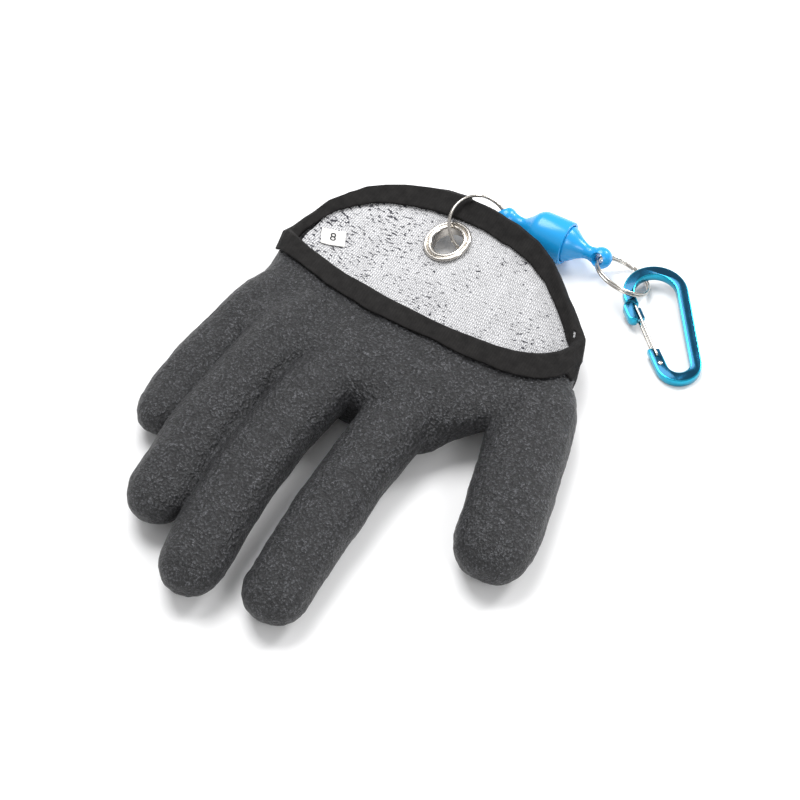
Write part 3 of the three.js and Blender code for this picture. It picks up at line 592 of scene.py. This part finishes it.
@dataclass(frozen=True)
class FleckedKnit(Finish):
    """Pale jersey knit, its wales along Y, with dark slanted flecks."""

    fleck: tuple[float, float, float] = (0.07, 0.07, 0.085)
    shade_color: tuple[float, float, float] = (0.5, 0.5, 0.53)
    wale: float = 1.7
    course: float = 1.5

    def dress(self, graph: Graph, shader: bpy.types.Node) -> None:
        """Wires the stitches, the shade between them and the flecks."""
        place = graph.place()
        split = graph.node("SeparateXYZ", {0: graph.bend(place, 120.0, (0.0022, 0.0022, 0.0))})
        across = graph.math("FRACT", graph.math("MULTIPLY", split.outputs[0], 1 / (self.wale * MM)))
        off_middle = graph.math("ABSOLUTE", graph.math("SUBTRACT", across, 0.5))
        along = graph.math("MULTIPLY", split.outputs[1], 1 / (self.course * MM))
        leaning = graph.math("ADD", along, graph.math("MULTIPLY", off_middle, 1.6))
        loop = graph.math("SINE", graph.math("MULTIPLY", leaning, 2 * math.pi))
        legs = graph.spread(graph.math("ABSOLUTE", graph.math("SUBTRACT", off_middle, 0.26)), 0.25, 0.06)
        stitch = graph.math("MULTIPLY", legs, graph.spread(loop, -1, 0.6, 0.25, 1))
        self.raise_by(graph, shader, stitch, 0.6)
        shaded = graph.mix(graph.spread(stitch, 0.1, 0.7), (*self.shade_color, 1), (*self.color, 1))
        turned = graph.node("Mapping", {"Vector": place, "Rotation": (0, 0, math.radians(-32)),
                                        "Scale": (560.0, 1350.0, 560.0)})
        dashes = graph.cloud(turned.outputs[0], 1.0, 1.0)
        # Painted shade: the flecks are the knit's own, but they crowd towards -X and low Y, darkening the
        # knit towards the rim of the mouth and the left fold.
        flat = graph.node("SeparateXYZ", {0: place})
        left = graph.spread(flat.outputs[0], 0.0, -0.06)
        low = graph.spread(flat.outputs[1], 0.06, 0.02)
        patch = graph.cloud(place, 60.0, 1.0)
        crowd = graph.math("ADD", graph.math("MAXIMUM", left, low),
                           graph.spread(patch.outputs[0], 0.45, 0.75))
        limit = graph.spread(crowd, 0, 1.4, 0.68, 0.55)
        mark = graph.math("MULTIPLY", graph.math("SUBTRACT", dashes.outputs[0], limit), 12.0)
        share = graph.node("Clamp", {0: mark})
        color = graph.mix(share.outputs[0], shaded, (*self.fleck, 1))
        graph.tree.links.new(color, shader.inputs["Base Color"])


@dataclass(frozen=True)
class WovenCloth(Finish):
    """Tape or ribbon with fine crossed threads."""

    threads: float = 1400.0
    depth: float = 0.12
    crest_tone: tuple[float, float, float] = (0.034, 0.032, 0.031)

    def dress(self, graph: Graph, shader: bpy.types.Node) -> None:
        """Wires the weave and a little wear."""
        place = graph.place()
        weave = graph.node("Group", {"Place": place, "Threads": self.threads}, node_tree=Effects.weave())
        grain = graph.node("Group", {"Place": place, "Scale": 260.0, "Low": 0.0, "High": 0.8},
                           node_tree=Effects.grain())
        self.raise_by(graph, shader, weave.outputs[0], self.depth)
        share = graph.math("MULTIPLY", weave.outputs[0], grain.outputs[0])
        color = graph.mix(share, (*self.color, 1), (*self.crest_tone, 1))
        graph.tree.links.new(color, shader.inputs["Base Color"])


LATEX = CrinkledLatex("latex_black", "latex", (0.0075, 0.0077, 0.009), 0.48)
KNIT = FleckedKnit("knit_pale", "knit", (1.0, 1.0, 1.0), 0.9, specular=0.2)
TAPE = WovenCloth("tape_black", "tape", (0.0065, 0.006, 0.006), 0.85, specular=0.2)
THREAD = Finish("thread_black", "tape", (0.02, 0.02, 0.022), 0.7)
SATIN = WovenCloth("satin_white", "label", (0.86, 0.85, 0.83), 0.5, threads=2400, depth=0.05,
                   crest_tone=(0.7, 0.69, 0.67))
NICKEL = Finish("nickel", "steel", (0.60, 0.57, 0.53), 0.2, metallic=1)
MAGNET_STEEL = Finish("magnet_steel", "magnet", (0.55, 0.55, 0.57), 0.3, metallic=1)
RELEASE_BLUE = Finish("release_blue", "release_blue", (0.0, 0.31, 0.64), 0.12, metallic=0.1, coat=1)
ANODISED = Finish("anodised_blue", "anodised", (0.001, 0.06, 0.125), 0.24, metallic=0.85, coat=0.2)
# Painted highlight: a lighter copy of the anodised blue, put on the chamfers and sides of the clip.
ANODISED_EDGE_HIGHLIGHT = Finish("anodised_edge_highlight", "anodised", (0.01, 0.33, 0.50), 0.2, metallic=0.85, coat=0.2)


# Sub-assemblies


@dataclass
class Glove:
    """The dipped shell, its liner, the tape round the cuff and the size tag."""

    shell_voxel: float = 0.55
    liner_voxel: float = 0.62
    tape_voxel: float = 0.4
    crinkle_grain: float = 2.1
    crinkle_rise: float = 0.22
    tag_voxel: float = 0.14
    shell_rounds: int = 26
    liner_rounds: int = 12
    tape_rounds: int = 5
    tag_rounds: int = 3
    fold_left: float = 5.0
    fold_right: float = 6.5
    fold_reach: float = 6.0
    left_margin: float = 4.5
    right_margin: float = 9.0
    left_swell: float = 0.45
    right_swell: float = 0.9
    most_triangles: int = 190_000
    number_size: float = 5.2
    number_rise: float = 0.05
    number_lift: float = 0.24

    def kept_width(self) -> tuple[float, float]:
        """How far the liner reaches in x on both sides, kept in from the two folds of the tape."""
        low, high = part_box("knit_liner")
        return low.x + self.fold_left * MM, high.x - self.fold_right * MM

    def shell(self) -> bpy.types.Object:
        """The black latex skin with its five digits, its inside faced with the knit."""
        piece = cad_copy("dipped_latex", "latex_shell")
        soften(piece, self.shell_voxel, self.shell_rounds, self.most_triangles)
        liner_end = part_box("knit_liner")[0].y
        low_x, high_x = self.kept_width()
        inside = shut_in(piece)
        piece.data.materials.append(LATEX.material())
        piece.data.materials.append(KNIT.material())
        for face in piece.data.polygons:
            in_fold = face.center.y > liner_end and not low_x < face.center.x < high_x
            face.material_index = int(not in_fold and all(inside[v] for v in face.vertices))
        roughen(piece, self.crinkle_grain, self.crinkle_rise)
        return LATEX.put_on(piece, Body.GLOVE, "latex_shell")

    def liner(self) -> bpy.types.Object:
        """The pale knit on the inside of the flap and in the mouth."""
        piece = cad_copy("jersey_liner", "knit_liner")
        low_x, high_x = self.kept_width()
        for vertex in piece.data.vertices:
            vertex.co.x = min(max(vertex.co.x, low_x), high_x)
        soften(piece, self.liner_voxel, self.liner_rounds, self.most_triangles)
        return KNIT.put_on(piece, Body.GLOVE, "knit_liner")

    def fold_filling(self, node: str, left: bool) -> bpy.types.Object:
        """The cloth deep in one fold of the rim, swollen so that the tape closes over it.

        Args:
            node: the cloth's node.
            left: whether it is the fold on the little finger's side.

        Returns:
            The filling as a closed piece.
        """
        points = node_points("cuff_binding") * MM
        low, high = points.min(0), points.max(0)
        sides = {True: (self.left_margin, self.left_swell), False: (self.right_margin, self.right_swell)}
        margin, swell = sides[left]
        reach, across = self.fold_reach * MM, points[:, 0]
        near = points[across < low[0] + reach] if left else points[across > high[0] - reach]
        corner, far_corner = near.min(0), near.max(0)
        corner[1] += margin * MM
        piece = cad_copy("fold_filling", node)
        box = block("fold_box", corner, far_corner)
        modify(piece, "BOOLEAN", operation="INTERSECT", object=box, solver="EXACT")
        bpy.data.objects.remove(box)
        modify(piece, "DISPLACE", strength=swell * MM, mid_level=0)
        return piece

    def tape(self) -> bpy.types.Object:
        """The tape folded round the rim, closed over the cloth in the two folds."""
        piece = cad_copy("cuff_tape", "cuff_binding")
        for node in ("latex_shell", "knit_liner"):
            for left in (True, False):
                filling = self.fold_filling(node, left)
                reshape(piece, lambda shape, mesh=filling.data: shape.from_mesh(mesh))
                bpy.data.objects.remove(filling)
        soften(piece, self.tape_voxel, self.tape_rounds, self.most_triangles)
        return TAPE.put_on(piece, Body.GLOVE, "cuff_binding")

    def tag(self) -> bpy.types.Object:
        """The small woven tag at the corner of the flap."""
        piece = cad_copy("woven_tag", "size_label")
        soften(piece, self.tag_voxel, self.tag_rounds, self.most_triangles)
        return SATIN.put_on(piece, Body.GLOVE, "size_label")

    def number(self) -> bpy.types.Object:
        """A plain size number, stitched on the tag."""
        points = node_points("size_label")
        middle = Vector(points.mean(0))
        ways = main_ways(points)
        normal = Vector(ways[:, 0])
        normal *= math.copysign(1, normal.z)
        long = Vector(ways[:, 2])
        long *= math.copysign(1, long.x)
        text = bpy.data.curves.new("size_number", "FONT")
        text.body = "8"
        text.size = self.number_size
        text.align_x, text.align_y = "CENTER", "CENTER"
        text.extrude = self.number_rise
        text.resolution_u = 6
        holder = add_object("number_text", text)
        bpy.context.view_layer.update()
        graph = bpy.context.evaluated_depsgraph_get()
        mesh = bpy.data.meshes.new_from_object(holder.evaluated_get(graph))
        bpy.data.objects.remove(holder)
        mesh.materials.clear()
        piece = add_object("size_number", mesh)
        turn = Matrix((long, normal.cross(long), normal)).transposed()
        lift = middle + normal * self.number_lift + slack(middle * MM) / MM
        for vertex in mesh.vertices:
            vertex.co = (turn @ vertex.co + lift) * MM
        return THREAD.put_on(piece, Body.GLOVE)

    def build(self) -> None:
        """Makes and dresses every piece of the glove."""
        self.shell()
        self.liner()
        self.tape()
        self.tag()
        self.number()


@dataclass
class Eyelet:
    """The rolled eyelet and its washer, about the axis that the washer lies square to."""

    hole: float = 6.2
    flange: float = 9.4
    wall: float = 0.6
    gap: float = 0.3
    cloth: float = 2.3

    def place(self) -> Matrix:
        """From the eyelet's frame, with the glove's outer face at height 0, to the scene."""
        points = node_points("grommet_washer")
        middle = points.mean(0)
        axis = Vector(main_ways(points)[:, 0])
        axis *= math.copysign(1, axis.z)
        return Matrix.Translation(Vector(middle) + axis * (self.gap + self.wall / 2)) @ upright(axis)

    def roll(self, middle: float, base: float, radius: float, height: float, steps: int = 8) -> list:
        """Rows of a rounded ridge of the flange, from its inner foot to its outer one."""
        turns = [math.pi * (1 - k / steps) for k in range(steps + 1)]
        return [(middle + radius * math.cos(t), base + height * math.sin(t)) for t in turns]

    def build(self) -> None:
        """Makes and dresses the eyelet and its washer."""
        place = self.place()
        base = self.cloth + self.gap
        foot = -self.gap - self.wall
        barrel = self.hole + self.wall
        inner = self.roll(self.hole + 0.75, base + 0.45, 0.75, 0.62)
        outer = self.roll(self.flange - 0.75, base + 0.3, 0.75, 0.75)
        rows = [*inner, *outer, (self.flange - 0.1, base), (barrel, base), (barrel, foot),
                (self.hole, foot)]
        ring = lathe("rolled_eyelet", rows, place)
        shade(ring, 50)
        NICKEL.put_on(ring, Body.GLOVE, "grommet_eyelet")
        top, inside = -self.gap, barrel + self.gap
        brim = self.flange - self.gap
        washer_rows = [(inside, top), (brim - 0.2, top), (brim, top - 0.2), (brim - 0.2, foot),
                       (inside, foot)]
        washer = lathe("eyelet_washer", washer_rows, place)
        shade(washer, 30)
        NICKEL.put_on(washer, Body.GLOVE, "grommet_washer")


@dataclass
class SplitRing:
    """Two turns of wire with a crank where one turn steps over to the other."""

    name: str
    node: str
    body: Body
    wire: float = 1.0
    pitch: float = 1.15
    turns: int = 2
    node_sides: int = 5
    crank: float = 0.07
    steps: int = 160

    def measure(self) -> tuple[Vector, Vector, float, float, float]:
        """Finds the ring in the frame: its two turns lie one over the other.

        Returns:
            Its centre, its axis, its radius, the angle where the wire starts and
            the sense in which it runs, in the plane of plane_ways.
        """
        points = node_points(self.node)
        middle = points.mean(0)
        axis = main_ways(points)[:, 0]
        first, second = self.plane_ways(Vector(axis))
        flat = np.c_[(points - middle) @ first, (points - middle) @ second]
        angles = np.arctan2(flat[:, 1], flat[:, 0])
        order = np.argsort(angles)
        splits = np.flatnonzero(np.diff(angles[order]) > 0.12) + 1
        groups = [points[g] for g in np.split(order, splits)]
        steps = []
        for group in groups:
            heights = group @ axis
            sorted_group = group[np.argsort(heights)]
            if len(group) == 2 * self.node_sides:
                steps.append(sorted_group[self.node_sides:].mean(0) - sorted_group[:self.node_sides].mean(0))
        axis = Vector(np.mean(steps, 0)).normalized()
        first, second = self.plane_ways(axis)
        flat = np.c_[(points - middle) @ first, (points - middle) @ second]
        fit = np.c_[2 * flat, np.ones(len(flat))]
        a, b, c = np.linalg.lstsq(fit, (flat**2).sum(1), rcond=None)[0]
        radius = math.sqrt(c + a * a + b * b - self.wire**2 / 8)
        centre = Vector(middle) + first * a + second * b
        heights = (points - np.array(centre)) @ axis
        centre += axis * float((heights.max() + heights.min()) / 2)
        heights = (points - np.array(centre)) @ axis
        angles = np.arctan2(flat[:, 1] - b, flat[:, 0] - a)
        low = points[heights < heights.min() + 0.1]
        start = math.atan2(float(((low - centre) @ second).mean()), float(((low - centre) @ first).mean()))
        after = (angles - start) % (2 * math.pi)
        quarter = heights[(after > 1.2) & (after < 1.9)].mean()
        sense = 1.0 if quarter < 0 else -1.0
        return centre, axis, radius, start, sense

    @staticmethod
    def plane_ways(axis: Vector) -> tuple[Vector, Vector]:
        """Two directions square to the axis and to each other."""
        first = axis.orthogonal().normalized()
        return first, axis.cross(first).normalized()

    def path(self) -> list[Vector]:
        """The wire's middle line, flat in each turn and cranked between them."""
        centre, axis, radius, start, sense = self.measure()
        first, second = self.plane_ways(axis)
        line = []
        for k in range(self.steps + 1):
            turn = self.turns * k / self.steps
            share = min(max((turn - 1 + self.crank) / (2 * self.crank), 0), 1)
            rise = (share * share * (3 - 2 * share) - 0.5) * self.pitch
            angle = start + sense * 2 * math.pi * turn
            line.append(centre + (first * math.cos(angle) + second * math.sin(angle)) * radius + axis * rise)
        return line

    def build(self) -> list[Vector]:
        """Makes and dresses the ring.

        Returns:
            Its middle line.
        """
        line = self.path()
        piece = tube(self.name, line, self.wire / 2, 14)
        NICKEL.put_on(piece, self.body, self.node)
        return line


@dataclass
class MagneticRelease:
    """The cup on the glove's side and the plug that leaves it, along one axis."""

    eye: float = 4.2
    eye_hole: float = 1.9
    neck: float = 2.6
    cup: float = 8.5
    cup_wall: float = 1.2
    cup_from_eye: float = 13.8
    cup_length: float = 12.7
    bore: float = 9.0
    eye_spacing: float = 40.6
    magnet: float = 2.5
    gap: float = 0.3

    def axis(self) -> Vector:
        """The direction in which the plug leaves the cup."""
        return Vector(joint_row("release_slide")["axis"]).normalized()

    def first_eye(self) -> Vector:
        """The middle of the cup's eye, in millimetres."""
        low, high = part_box("release_cup_magnet")
        bore_start = self.cup_from_eye + self.cup_length - self.bore
        return (low + high) / 2 / MM - self.axis() * (bore_start + self.gap + self.magnet / 2)

    def eye_rows(self, middle: float, sign: int) -> list[tuple[float, float]]:
        """The profile of an eye's ball, from its pole to its neck."""
        angles = [math.radians(a) for a in range(180, 35, -6)]
        return [(self.eye * abs(math.sin(a)), middle + sign * self.eye * math.cos(a)) for a in angles]

    def drill(self, piece: bpy.types.Object, eye: Vector, line: Sequence[Vector]) -> None:
        """Cuts the hole of an eye along the ring that runs through it.

        Args:
            piece: the half with the eye.
            eye: the eye's middle.
            line: the ring's middle line.
        """
        near = min(range(1, len(line) - 1), key=lambda k: (line[k] - eye).length)
        way = (line[near + 1] - line[near - 1]).normalized()
        flare = self.eye_hole * 1.35
        reach, mouth = self.eye * 2, self.eye * 0.72
        rows = [(0, -reach), (flare * 1.6, -reach), (flare, -mouth - 0.2), (self.eye_hole, -mouth + 0.9),
                (self.eye_hole, mouth - 0.9), (flare, mouth + 0.2), (flare * 1.6, reach), (0, reach)]
        cut_away(piece, lathe("eye_drill", rows, Matrix.Translation(eye) @ upright(way), 48))

    def build(self, inner_line: Sequence[Vector], outer_line: Sequence[Vector]) -> None:
        """Makes and dresses both halves and the magnets.

        Args:
            inner_line: the middle line of the ring through the cup's eye.
            outer_line: the middle line of the ring through the plug's eye.
        """
        axis, eye = self.axis(), self.first_eye()
        place = Matrix.Translation(eye) @ upright(axis)
        end = self.cup_from_eye + self.cup_length
        bore_radius = self.cup - self.cup_wall
        shoulder = through([(self.neck, 5.2), (self.neck + 0.15, 7.2), (self.neck + 1.9, 9.6),
                            (self.cup - 1.1, 12.5), (self.cup - 0.12, 14.6), (self.cup, 16.4)])
        cup_rows = [*self.eye_rows(0, 1)[:-2], *[tuple(p) for p in shoulder],
                    (self.cup, end - 0.5), (self.cup - 0.15, end - 0.15), (self.cup - 0.5, end),
                    (bore_radius + 0.2, end), (bore_radius, end - 0.2),
                    (bore_radius, end - self.bore), (0, end - self.bore)]
        cup = lathe("release_bell", cup_rows, place)
        self.drill(cup, eye, inner_line)
        shade(cup)
        RELEASE_BLUE.put_on(cup, Body.GLOVE, "release_cup")

        plug_radius = bore_radius - self.gap
        plug_start = end - self.bore + 3 * self.gap + 2 * self.magnet
        cone, neck = end + 0.6, self.eye_spacing - 5.6
        taper = through([(plug_radius, cone), (plug_radius * 0.86, cone + (neck - cone) * 0.2),
                         (plug_radius * 0.62, cone + (neck - cone) * 0.5),
                         (self.neck + 0.35, cone + (neck - cone) * 0.84), (self.neck, neck + 0.6)])
        plug_rows = [(0, plug_start), (plug_radius - 0.2, plug_start), (plug_radius, plug_start + 0.2),
                     (plug_radius, cone - 0.3), *[tuple(p) for p in taper],
                     *reversed(self.eye_rows(self.eye_spacing, -1)[:-2])]
        plug = lathe("release_stem", plug_rows, place)
        self.drill(plug, eye + axis * self.eye_spacing, outer_line)
        shade(plug)
        RELEASE_BLUE.put_on(plug, Body.OUTER, "release_plug")
        for node in ("release_cup_magnet", "release_plug_magnet"):
            steel = FRAME_NODES[node]
            steel.data.materials.clear()
            steel.data.materials.append(MAGNET_STEEL.material())


@dataclass
class Clip:
    """The pear-shaped clip in its own plane: the big end at the origin, the small end on +X."""

    big: float = 12.3
    small: float = 8.7
    spacing: float = 33.0
    bar: float = 4.4
    thickness: float = 3.6
    chamfer: float = 0.6
    heading: float = math.radians(-46)
    lift: float = math.radians(4.2)
    nose_start: float = 2.2
    nose_end: float = 11.4
    nose_width: float = 5.0
    nose_thickness: float = 4.2
    nose_bulge: float = 1.7
    hinge_end: float = 25.2
    tab: float = 1.8
    gap: float = 0.3
    gate_wire: float = 1.1
    gate_nose: tuple[float, float] = (4.6, -9.2)
    gate_hinge: tuple[float, float] = (28.2, -6.9)
    pivot_depth: float = 0.5
    rivet_spot: tuple[float, float] = (32.0, -6.6)
    rivet_radius: float = 0.9

    def __post_init__(self) -> None:
        """Works out the lean of the sides and the place of the clip in the scene."""
        self.lean = math.asin((self.big - self.small) / self.spacing)
        self.leg_height = self.tab / 2 + self.gap + self.gate_wire / 2
        self.leg_room = self.gate_wire / 2 + self.gap
        turn = Matrix.Rotation(self.heading, 4, "Z") @ Matrix.Rotation(self.lift, 4, "Y")
        hinge = Vector(joint_row("gate_hinge")["pos_m"]) / MM
        self.place = Matrix.Translation(hinge - turn @ Vector((*self.gate_hinge, 0))) @ turn

    def side(self, radius: float, along: float) -> float:
        """The gate side of the bar at a place along the clip."""
        return -(radius - along * math.sin(self.lean)) / math.cos(self.lean)

    def arc(self, centre: float, radius: float, start: float, end: float, steps: int = 40) -> list:
        """Points of an arc about a point of the X axis, in the plane of the clip."""
        angles = np.linspace(start, end, steps)
        return [(centre + radius * math.cos(a), radius * math.sin(a)) for a in angles]

    def outline(self) -> list[tuple[float, float]]:
        """The bar's outline, from the nose round both ends to the hinge and back inside."""
        start, end = -math.pi / 2 + self.lean, math.pi / 2 - self.lean
        inner_big, inner_small = self.big - self.bar, self.small - self.bar
        tip = self.nose_end - 1
        return [(tip, self.side(self.big, tip)),
                *self.arc(0, self.big, start, end - 2 * math.pi, 72),
                *self.arc(self.spacing, self.small, end, start),
                (self.hinge_end, self.side(self.big, self.hinge_end)),
                (self.hinge_end - 0.6, self.side(self.big - self.bar / 2, self.hinge_end)),
                (self.hinge_end, self.side(inner_big, self.hinge_end)),
                *self.arc(self.spacing, inner_small, start, end),
                *self.arc(0, inner_big, end, start + 2 * math.pi, 72),
                (tip, self.side(inner_big, tip))]

    def slab(self, name: str, outline: Sequence, thickness: float, chamfer: float) -> bpy.types.Object:
        """Thickens an outline and rounds its long edges.

        Args:
            name: the piece's name.
            outline: its points in the plane.
            thickness: how thick it is.
            chamfer: how much of its edges is taken off.

        Returns:
            The slab in the clip's own frame, in millimetres.
        """
        count = len(outline)
        points = [(x, y, z) for z in (-thickness / 2, thickness / 2) for x, y in outline]
        faces = [tuple(range(count)), tuple(range(count, 2 * count))]
        faces += [(k, (k + 1) % count, (k + 1) % count + count, k + count) for k in range(count)]
        piece = make_object(name, points, faces)

        def round_edges(shape: bmesh.types.BMesh) -> None:
            """Bevels the edges round both faces."""
            bmesh.ops.recalc_face_normals(shape, faces=shape.faces)
            edges = [e for e in shape.edges if abs(e.verts[0].co.z - e.verts[1].co.z) < 1e-4]
            bmesh.ops.bevel(shape, geom=edges, offset=chamfer, segments=2, profile=0.5,
                            affect="EDGES", clamp_overlap=True)

        if chamfer > 0:
            reshape(piece, round_edges)
        return piece

    def nose_outline(self) -> list[tuple[float, float]]:
        """The rounded nose block, turned along the gate side."""
        half = self.nose_width / 2
        left, right = self.nose_start + half, self.nose_end - half
        quarter = math.pi / 2
        ring = [*self.arc(left, half, quarter, 3 * quarter, 16),
                *self.arc(right, half, -quarter, quarter, 16)]
        middle = self.side(self.big + self.nose_bulge, 0) + half
        cos, sin = math.cos(self.lean), math.sin(self.lean)
        return [(x * cos - y * sin, x * sin + y * cos + middle) for x, y in ring]

    def room(self, start: float, end: float, outer: float, low: float, high: float) -> bpy.types.Object:
        """A box of room for the gate, open to the inside of the clip."""
        reach = outer + self.bar + self.leg_room
        corners = [(start, outer), (end, outer), (end, reach), (start, reach)]
        piece = self.slab("gate_room", corners, high - low, 0)
        piece.data.transform(Matrix.Translation((0, 0, (low + high) / 2)))
        return piece

    def pin(self, name: str, spot: tuple[float, float], radius: float, height: float) -> bpy.types.Object:
        """A plain round pin square to the clip, in the clip's own frame."""
        ring = [(spot[0] + radius * math.cos(a), spot[1] + radius * math.sin(a))
                for a in np.linspace(0, 2 * math.pi, 32, endpoint=False)]
        return self.slab(name, ring, height, 0)

    def frame(self) -> bpy.types.Object:
        """The bar with its nose, its slots and its holes."""
        piece = self.slab("clip_bar", self.outline(), self.thickness, self.chamfer)
        nose = self.slab("nose_block", self.nose_outline(), self.nose_thickness, self.chamfer)
        cut_away(piece, nose, join=True)
        reach, deep = 6.0, self.tab / 2
        nose_outer = self.gate_nose[1] - self.leg_room
        hinge_outer = self.gate_hinge[1] - self.leg_room
        nose_start = self.gate_nose[0] - self.leg_room
        spans = [(nose_start, self.nose_end + 1, nose_outer),
                 (self.hinge_end - 2, self.gate_hinge[0] + self.leg_room, hinge_outer)]
        rooms = [self.room(*span, *sides) for span in spans for sides in ((deep, reach), (-reach, -deep))]
        rooms += [self.room(nose_start, self.gate_nose[0] + self.leg_room, nose_outer, -reach, reach),
                  self.pin("pivot_hole", self.gate_hinge, self.leg_room, 2 * reach),
                  self.pin("rivet_hole", self.rivet_spot, self.rivet_radius + 0.1, 2 * reach)]
        for room in rooms:
            cut_away(piece, room)
        piece.data.materials.clear()
        piece.data.materials.append(ANODISED.material())
        piece.data.materials.append(ANODISED_EDGE_HIGHLIGHT.material())
        # Painted highlight: every face but the two flat ones, that is the chamfers and sides, takes the
        # lighter copy of the blue.
        for face in piece.data.polygons:
            face.material_index = 0 if abs(face.normal.z) > 0.97 else 1
        piece.data.transform(Matrix.Scale(MM, 4) @ self.place)
        shade(piece, 30)
        return ANODISED.put_on(piece, Body.OUTER, "carabiner_frame")

    def rivet(self) -> bpy.types.Object:
        """The pin with its two domed heads."""
        half = self.thickness / 2
        rise = 0.35
        dome = [(self.rivet_radius * math.cos(a), half + rise * math.sin(a))
                for a in np.linspace(0, math.pi / 2, 7)]
        rows = [*[(r, -h) for r, h in reversed(dome)], *dome]
        piece = lathe("gate_rivet", rows, self.place @ Matrix.Translation((*self.rivet_spot, 0)), 32)
        shade(piece, 40)
        return NICKEL.put_on(piece, Body.OUTER, "carabiner_rivet")

    def gate(self) -> bpy.types.Object:
        """One wire: a leg on each face of the clip, joined at the nose."""
        hinge, nose = (Vector((*spot, 0)) for spot in (self.gate_hinge, self.gate_nose))
        bend = self.gate_wire * 0.8
        high = UP * self.leg_height
        corners = [hinge + UP * self.pivot_depth, hinge + high, nose + high, nose - high,
                   hinge - high, hinge - UP * self.pivot_depth]
        line = [corners[0]]
        for before, corner, after in zip(corners, corners[1:], corners[2:]):
            start = corner + (before - corner).normalized() * bend
            end = corner + (after - corner).normalized() * bend
            for share in np.linspace(0, 1, 7):
                line.append(start.lerp(corner, share).lerp(corner.lerp(end, share), share))
        line.append(corners[-1])
        piece = tube("wire_gate_loop", [self.place @ p for p in line], self.gate_wire / 2, 14)
        return NICKEL.put_on(piece, Body.GATE, "wire_gate")

    def build(self) -> None:
        """Makes and dresses every piece of the clip."""
        self.frame()
        self.rivet()
        self.gate()


@dataclass
class Studio:
    """A pale floor, soft lights and the camera."""

    azimuth: float = math.radians(33)
    elevation: float = math.radians(51)
    distance: float = 0.9
    lens: float = 111.4
    target: tuple[float, float, float] = (-0.004531, 0.007258, 0.0)
    sky: float = 0.55
    floor_reach: float = 6

    def floor(self) -> None:
        """A plain matt floor, far wider than the view."""
        reach = self.floor_reach
        corners = [(-reach, -reach, 0), (reach, -reach, 0), (reach, reach, 0), (-reach, reach, 0)]
        piece = make_object("floor", corners, [(0, 1, 2, 3)])
        made = bpy.data.materials.new("floor_white")
        made.use_nodes = True
        shader = made.node_tree.nodes["Principled BSDF"]
        shader.inputs["Base Color"].default_value = (0.93, 0.93, 0.935, 1)
        shader.inputs["Roughness"].default_value = 0.75
        shader.inputs["Specular IOR Level"].default_value = 0.2
        piece.data.materials.append(made)

    def softbox(self, name: str, spot: tuple[float, float, float], size: float, power: float) -> None:
        """An area light that faces the object.

        Args:
            name: the light's name.
            spot: where it stands, in metres.
            size: the length of its side.
            power: its power in watts.
        """
        data = bpy.data.lights.new(name, "AREA")
        data.shape = "SQUARE"
        data.size = size
        data.energy = power
        light = add_object(name, data)
        light.location = spot
        light.rotation_mode = "QUATERNION"
        light.rotation_quaternion = (-Vector(spot)).to_track_quat("-Z", "Y")

    def camera(self) -> None:
        """The camera, at the picture's viewing angle."""
        data = bpy.data.cameras.new("camera")
        data.lens = self.lens
        data.sensor_width = 36
        made = add_object("camera", data)
        flat = math.cos(self.elevation)
        back = Vector((math.sin(self.azimuth) * flat, -math.cos(self.azimuth) * flat,
                       math.sin(self.elevation)))
        made.location = Vector(self.target) + back * self.distance
        made.rotation_mode = "QUATERNION"
        made.rotation_quaternion = (-back).to_track_quat("-Z", "Y")
        bpy.context.scene.camera = made

    def build(self) -> None:
        """Sets up the whole studio."""
        self.floor()
        self.softbox("key_light", (-0.55, 0.4, 1.4), 0.9, 22)
        self.softbox("fill_light", (1.1, -0.5, 1.1), 0.5, 6)
        self.softbox("back_light", (0.5, 1.2, 0.9), 0.4, 12)
        world = bpy.data.worlds.new("studio")
        world.use_nodes = True
        sky = world.node_tree.nodes["Background"]
        sky.inputs[0].default_value = (1, 1, 1, 1)
        sky.inputs[1].default_value = self.sky
        bpy.context.scene.world = world
        bpy.context.scene.view_settings.view_transform = "Standard"
        self.camera()


def main() -> None:
    """Dresses the frame piece by piece, with the cloth's slack the same in every run."""
    noise.seed_set(SLACK_SEED)
    Studio().build()
    Glove().build()
    Eyelet().build()
    inner_line = SplitRing("inner_ring_wire", "inner_split_ring", Body.GLOVE).build()
    outer_line = SplitRing("outer_ring_wire", "outer_split_ring", Body.OUTER).build()
    MagneticRelease().build(inner_line, outer_line)
    Clip().build()


if __name__ == "__main__":
    logging.basicConfig(level=logging.INFO)
    main()
